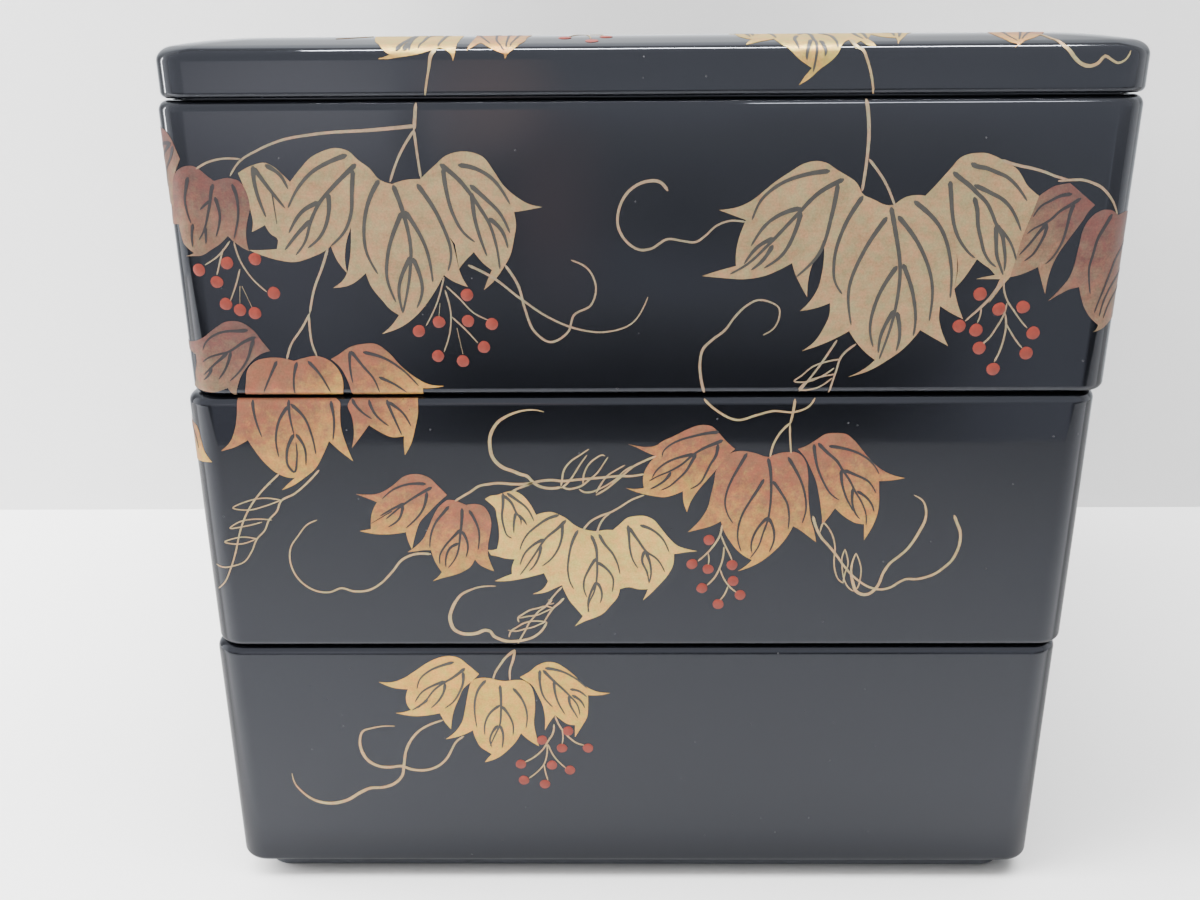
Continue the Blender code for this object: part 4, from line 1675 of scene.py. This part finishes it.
# Soft patches over the room in front: middle, half size, softness, share and colour
ROOM_PATCHES = (
    ((262, 200), (150, 190), 0.7, 0.80, (2.7, 2.65, 2.85)),
    ((300, 95), (120, 80), 0.8, 0.90, (4.6, 4.5, 4.6)),
    ((480, 92), (66, 66), 0.6, 0.85, (3.9, 3.1, 2.9)),
    ((552, 205), (46, 92), 0.8, 0.70, (2.35, 1.8, 1.8)),
    ((400, 130), (13, 50), 0.9, 0.50, (1.2, 1.25, 1.4)),
    ((668, 278), (105, 34), 0.9, 0.55, (1.7, 1.75, 1.95)),
    ((690, 225), (48, 42), 0.9, 0.40, (0.7, 0.72, 0.85)),
    ((1075, 210), (125, 260), 0.8, 0.60, (2.1, 2.2, 2.35)),
    ((1070, 410), (165, 95), 0.7, 0.78, (2.1, 2.15, 2.4)),
    ((250, 400), (160, 95), 0.7, 0.85, (1.75, 1.8, 2.0)),
    ((1140, 170), (64, 230), 0.3, 0.80, (2.9, 3.0, 3.15)),
)


def stage_mesh(name, corners, material):
    """A flat four-cornered piece of the studio."""
    mesh = bpy.data.meshes.new(name)
    mesh.from_pydata(corners, [], [(0, 1, 2, 3)])
    mesh.materials.append(material)
    made = bpy.data.objects.new(name, mesh)
    bpy.context.scene.collection.objects.link(made)
    return made


def paper_material(name, see_through_back=False):
    """Matt white paper; the upright sheet isn't seen from behind."""
    material, tree, shader = new_material(name, Roughness=0.9)
    shader.inputs["Specular IOR Level"].default_value = 0.15
    place = shader_node(tree, "ShaderNodeTexCoord").outputs["Object"]
    colour = (*studio_settings().floor, 1)
    dull = tuple(channel * 0.97 for channel in colour[:3]) + (1,)
    tone = blend_colours(tree, cloud(tree, place, 3, 2), dull, colour)
    tree.links.new(tone, shader.inputs["Base Color"])
    if see_through_back:
        back = shader_node(tree, "ShaderNodeNewGeometry").outputs["Backfacing"]
        tree.links.new(arithmetic(tree, "SUBTRACT", 1.0, back), shader.inputs["Alpha"])
    return material


def mirrored_in_front(pixel):
    """The place in the room that the painted faces mirror into a pixel."""
    ray = GAZE @ Vector((pixel[0] - PHOTO_SIZE[0] / 2, PHOTO_SIZE[1] / 2 - pixel[1],
                         -FOCAL_PIXELS))
    return EYE + ray * ((2 * FRONT - EYE.y - MIRRORED_EDGE) / ray.y)


def soft_patch_group():
    """A soft-edged oval: 1 in its middle, 0 outside."""
    name = "Soft patch"
    if name in bpy.data.node_groups:
        return bpy.data.node_groups[name]
    tree, start, end = shader_group(
        name, [("Place", "NodeSocketVector"), ("Middle", "NodeSocketVector"),
               ("Half size", "NodeSocketVector"), ("Softness", "NodeSocketFloat")],
        [("Mask", "NodeSocketFloat")])
    offset = shader_node(tree, "ShaderNodeVectorMath",
                         {0: start.outputs["Place"], 1: start.outputs["Middle"]},
                         operation="SUBTRACT")
    share = shader_node(tree, "ShaderNodeVectorMath",
                        {0: offset.outputs[0], 1: start.outputs["Half size"]},
                        operation="DIVIDE")
    far = shader_node(tree, "ShaderNodeVectorMath", {0: share.outputs[0]}, operation="LENGTH")
    inner = arithmetic(tree, "SUBTRACT", 1.0, start.outputs["Softness"])
    outer = arithmetic(tree, "ADD", 1.0, start.outputs["Softness"])
    fall = shader_node(tree, "ShaderNodeMapRange",
                       {0: far.outputs["Value"], 1: inner, 2: outer, 3: 1.0, 4: 0.0},
                       interpolation_type="SMOOTHSTEP")
    tree.links.new(fall.outputs[0], end.inputs["Mask"])
    return tree


def room_material():
    """The blurred room that the front of the box mirrors; it only glows in mirrors."""
    material, tree, shader = new_material("Room in front", Roughness=1.0,
                                          Emission_Strength=ROOM_GLOW)
    shader.inputs["Base Color"].default_value = (0, 0, 0, 1)
    place = shader_node(tree, "ShaderNodeTexCoord").outputs["Object"]
    sway = shader_node(tree, "ShaderNodeTexNoise", {"Vector": place, "Scale": 14.0, "Detail": 2.0})
    shift = shader_node(tree, "ShaderNodeVectorMath",
                        {0: sway.outputs["Color"], 1: (0.03, 0.0, 0.016), 2: place},
                        operation="MULTIPLY_ADD")
    flat = shader_node(tree, "ShaderNodeVectorMath",
                       {0: shift.outputs[0], 1: (-0.015, 0, -0.008)}, operation="ADD")
    swayed = flat.outputs[0]
    height = shader_node(tree, "ShaderNodeSeparateXYZ", {0: swayed}).outputs["Z"]
    ramp = shader_node(tree, "ShaderNodeValToRGB",
                       {0: arithmetic(tree, "DIVIDE", height, ROOM_HEIGHT)})
    stops = ramp.color_ramp.elements
    for row, tone in ROOM_ROWS:
        stop = stops.new(mirrored_in_front((PHOTO_SIZE[0] / 2, row)).z / ROOM_HEIGHT)
        tone /= ROOM_GLOW
        stop.color = (tone * 0.97, tone * 0.99, tone * 1.05, 1)
    stops.remove(stops[0])
    stops.remove(stops[len(stops) - 1])
    colour = ramp.outputs["Color"]
    for (across, down), (half_across, half_down), softness, share, tint in ROOM_PATCHES:
        middle = mirrored_in_front((across, down))
        corner = mirrored_in_front((across + half_across, down - half_down))
        patch = shader_node(tree, "ShaderNodeGroup", node_tree=soft_patch_group())
        tree.links.new(swayed, patch.inputs["Place"])
        patch.inputs["Middle"].default_value = middle
        patch.inputs["Half size"].default_value = (corner.x - middle.x, 1.0,
                                                   corner.z - middle.z)
        patch.inputs["Softness"].default_value = softness
        mask = arithmetic(tree, "MULTIPLY", patch.outputs["Mask"], share)
        glow = tuple(channel / ROOM_GLOW for channel in tint) + (1,)
        colour = blend_colours(tree, mask, colour, glow)
    tree.links.new(colour, shader.inputs["Emission Color"])
    return material


def soft_light(name, place, aim, size, power, tint=(1, 1, 1), mirrored=True):
    """A rectangular light that faces a point and that no camera sees."""
    lamp = bpy.data.lights.new(name, "AREA")
    lamp.shape = "RECTANGLE"
    lamp.size, lamp.size_y = size
    lamp.energy = power
    lamp.color = tint
    light = bpy.data.objects.new(name, lamp)
    light.location = place
    light.rotation_euler = (Vector(aim) - Vector(place)).to_track_quat("-Z", "Y").to_euler()
    light.visible_camera = False
    light.visible_glossy = mirrored
    bpy.context.scene.collection.objects.link(light)
    return light


def glint_light(name, pieces, place, aim, size, power):
    """A narrow bright strip that lights only the pieces named."""
    light = soft_light(name, place, aim, size, power)
    light.visible_diffuse = False
    shown = bpy.data.collections.new(name)
    for piece in pieces:
        shown.objects.link(bpy.data.objects[piece])
    light.light_linking.receiver_collection = shown
    return light


def add_camera():
    data = bpy.data.cameras.new("Photograph view")
    data.sensor_width = SENSOR_WIDTH
    data.lens = SENSOR_WIDTH * FOCAL_PIXELS / PHOTO_SIZE[0]
    data.clip_start = 0.01
    camera = bpy.data.objects.new("Photograph view", data)
    camera.location = EYE
    camera.rotation_euler = GAZE.to_euler()
    bpy.context.scene.collection.objects.link(camera)
    bpy.context.scene.camera = camera


def mirrored_floor_material():
    """The floor as the lacquer mirrors it: in shade at the front and beside the box."""
    material, tree, shader = new_material("Mirrored floor", Roughness=1.0)
    shader.inputs["Specular IOR Level"].default_value = 0.0
    place = shader_node(tree, "ShaderNodeTexCoord").outputs["Object"]
    forward = shader_node(tree, "ShaderNodeSeparateXYZ", {0: place}).outputs["Y"]
    lit, front, beside = [(*[channel * share for channel in studio_settings().floor], 1)
                          for share in (0.97, 0.50, 0.40)]
    tone = blend_colours(tree, spread(tree, forward, FRONT - 0.04, MIRRORED_EDGE), lit, front)
    past = spread(tree, forward, FRONT - 0.02, FRONT + 0.01)
    tree.links.new(blend_colours(tree, past, tone, beside), shader.inputs["Base Color"])
    return material


def glow_material(name, near, far, middle, half_size, softness):
    """Something pale that only glows in mirrors: near in an oval, far all round it."""
    material, tree, shader = new_material(name, Roughness=1.0, Emission_Strength=ROOM_GLOW)
    shader.inputs["Base Color"].default_value = (0, 0, 0, 1)
    patch = shader_node(tree, "ShaderNodeGroup", node_tree=soft_patch_group())
    place = shader_node(tree, "ShaderNodeTexCoord").outputs["Object"]
    tree.links.new(place, patch.inputs["Place"])
    patch.inputs["Middle"].default_value = middle
    patch.inputs["Half size"].default_value = half_size
    patch.inputs["Softness"].default_value = softness
    tones = [tuple(channel * tone / ROOM_GLOW for channel in (0.98, 1.0, 1.03)) + (1,)
             for tone in (far, near)]
    tone = blend_colours(tree, patch.outputs["Mask"], *tones)
    tree.links.new(tone, shader.inputs["Emission Color"])
    return material


def mirrored_wall_material():
    """The wall behind the box as the lid mirrors it, dimmer to the right."""
    material, tree, shader = new_material("Mirrored wall", Roughness=1.0,
                                          Emission_Strength=ROOM_GLOW)
    shader.inputs["Base Color"].default_value = (0, 0, 0, 1)
    place = shader_node(tree, "ShaderNodeTexCoord").outputs["Object"]
    apart = shader_node(tree, "ShaderNodeSeparateXYZ", {0: place})
    height = arithmetic(tree, "DIVIDE", apart.outputs["Z"], WALL_HEIGHT)
    ramp = shader_node(tree, "ShaderNodeValToRGB", {0: height})
    stops = ramp.color_ramp.elements
    for level, tone in WALL_TONES:
        stop = stops.new(level / WALL_HEIGHT)
        stop.color = tuple(channel * tone / ROOM_GLOW for channel in (0.96, 1.0, 1.05)) + (1,)
    stops.remove(stops[0])
    stops.remove(stops[len(stops) - 1])
    right = spread(tree, apart.outputs["X"], 0.0, 0.22, 1.0, 0.7)
    left = spread(tree, apart.outputs["X"], -0.5, -0.25, 0.4, 1.0)
    share = arithmetic(tree, "MULTIPLY", left, right)
    dim = shader_node(tree, "ShaderNodeCombineColor", {0: share, 1: share, 2: share}).outputs[0]
    tone = blend_colours(tree, 1.0, ramp.outputs["Color"], dim, "MULTIPLY")
    tree.links.new(tone, shader.inputs["Emission Color"])
    return material


def add_backdrop():
    """The floor, the wall behind the box and what its faces mirror."""
    far = FLOOR_REACH
    side, edge, wall, high = MIRRORED_SIDE, MIRRORED_EDGE, WALL_PLACE, WALL_HEIGHT
    floor = stage_mesh("Floor", [(-far, -far, 0), (far, -far, 0), (far, far, 0), (-far, far, 0)],
                       paper_material("Floor paper"))
    sheet = stage_mesh("Wall", [(-far, wall, 0), (far, wall, 0), (far, wall, high),
                                (-far, wall, high)],
                       paper_material("Wall paper", see_through_back=True))
    for paper in (floor, sheet):
        paper.visible_glossy = False
    low = 0.0001
    mirrored = [
        stage_mesh("Mirrored floor", [(-side, edge, low), (side, edge, low),
                                      (side, wall, low), (-side, wall, low)],
                   mirrored_floor_material()),
        stage_mesh("Mirrored wall", [(-side, wall, 0), (side, wall, 0), (side, wall, high),
                                     (-side, wall, high)],
                   mirrored_wall_material()),
        stage_mesh("Room at the left", [(-side, wall, 0), (-side, edge, 0),
                                        (-side, edge, high), (-side, wall, high)],
                   glow_material("Left room", 3.4, 2.0, (-side, 0, 0.2), (1, 0.3, 0.4), 0.6)),
        stage_mesh("Room at the right", [(side, edge, 0), (side, wall, 0),
                                         (side, wall, high), (side, edge, high)],
                   glow_material("Right room", 2.4, 1.8, (side, 0, 0.2), (1, 0.3, 0.4), 0.6)),
        stage_mesh("Room above", [(-side, edge, high), (-side, wall, high),
                                  (side, wall, high), (side, edge, high)],
                   glow_material("Ceiling", 1.9, 1.5, (0, 0, high), (0.5, 0.5, 1), 0.6)),
        stage_mesh("Room in front", [(-side, edge, 0), (side, edge, 0),
                                     (side, edge, high), (-side, edge, high)],
                   room_material())]
    for piece in mirrored:
        piece.visible_camera = False
        piece.visible_diffuse = False
        piece.visible_shadow = False


class FOODBOX_OT_studio(bpy.types.Operator):
    """The pale floor and wall, the lights and the camera"""

    bl_idname = "food_box.studio"
    bl_label = "Studio"

    def execute(self, context):
        settings = studio_settings()
        add_backdrop()
        soft_light("Ceiling light", (0.0, -0.25, 1.7), (0, -0.25, 0), (2.2, 0.78),
                   settings.ceiling, mirrored=False)
        soft_light("Side light", (-1.6, -0.5, 1.2), (0, 0, 0.05), (1.4, 1.4), settings.window,
                   tint=(1.0, 0.985, 0.97), mirrored=False)
        soft_light("Lamp at the left", (-0.80, -0.10, 0.62), (-0.2, 0, 0), (0.6, 0.6),
                   settings.lamp, mirrored=False)
        on_lid = [piece.name for piece in context.scene.objects if "lid_" in piece.name]
        glint_light("Lid glint", on_lid, (0.085, -0.40, 1.32), (0.085, -0.1, 0.19),
                    (0.89, 0.07), settings.glint)
        glint_light("Lip glint", ["top_tier_lacquered"], (0.175, -0.40, 0.557),
                    (0.175, -0.1, 0.184), (0.20, 0.03), settings.glint * 0.026)
        glint_light("Side glint", ["lid_lacquered", "top_tier_lacquered"], (-0.85, 0.0, 0.30),
                    (-0.09, -0.09, 0.19), (0.05, 0.36), settings.glint * 0.05)
        world = bpy.data.worlds.new("Room")
        world.use_nodes = True
        background = world.node_tree.nodes["Background"]
        background.inputs["Color"].default_value = (0.96, 0.98, 1.0, 1)
        background.inputs["Strength"].default_value = settings.air
        context.scene.world = world
        add_camera()
        return {"FINISHED"}


class FOODBOX_PT_sidebar(bpy.types.Panel):
    """Builds the box, piece by piece"""

    bl_label = "Food box"
    bl_idname = "FOODBOX_PT_sidebar"
    bl_space_type = "VIEW_3D"
    bl_region_type = "UI"
    bl_category = "Food box"

    def draw(self, context):
        for operator in OPERATORS:
            self.layout.operator(operator.bl_idname)
        for settings in (lacquer_settings(), paint_settings(), studio_settings()):
            box = self.layout.box()
            for name in settings.__annotations__:
                box.prop(settings, name)


OPERATORS = (FOODBOX_OT_tiers, FOODBOX_OT_lid, FOODBOX_OT_leaves, FOODBOX_OT_strokes,
             FOODBOX_OT_berries, FOODBOX_OT_studio)
CLASSES = (LacquerSettings, PaintSettings, StudioSettings, *OPERATORS, FOODBOX_PT_sidebar)


def register():
    for each in CLASSES:
        bpy.utils.register_class(each)
    bpy.types.Scene.food_box_lacquer = PointerProperty(type=LacquerSettings)
    bpy.types.Scene.food_box_paint = PointerProperty(type=PaintSettings)
    bpy.types.Scene.food_box_studio = PointerProperty(type=StudioSettings)


def unregister():
    del bpy.types.Scene.food_box_studio
    del bpy.types.Scene.food_box_paint
    del bpy.types.Scene.food_box_lacquer
    for each in reversed(CLASSES):
        bpy.utils.unregister_class(each)


def main():
    register()
    bpy.ops.food_box.tiers()
    bpy.ops.food_box.lid()
    bpy.ops.food_box.leaves()
    bpy.ops.food_box.strokes()
    bpy.ops.food_box.berries()
    bpy.ops.food_box.studio()
    bpy.context.view_layer.update()


if __name__ == "__main__":
    main()
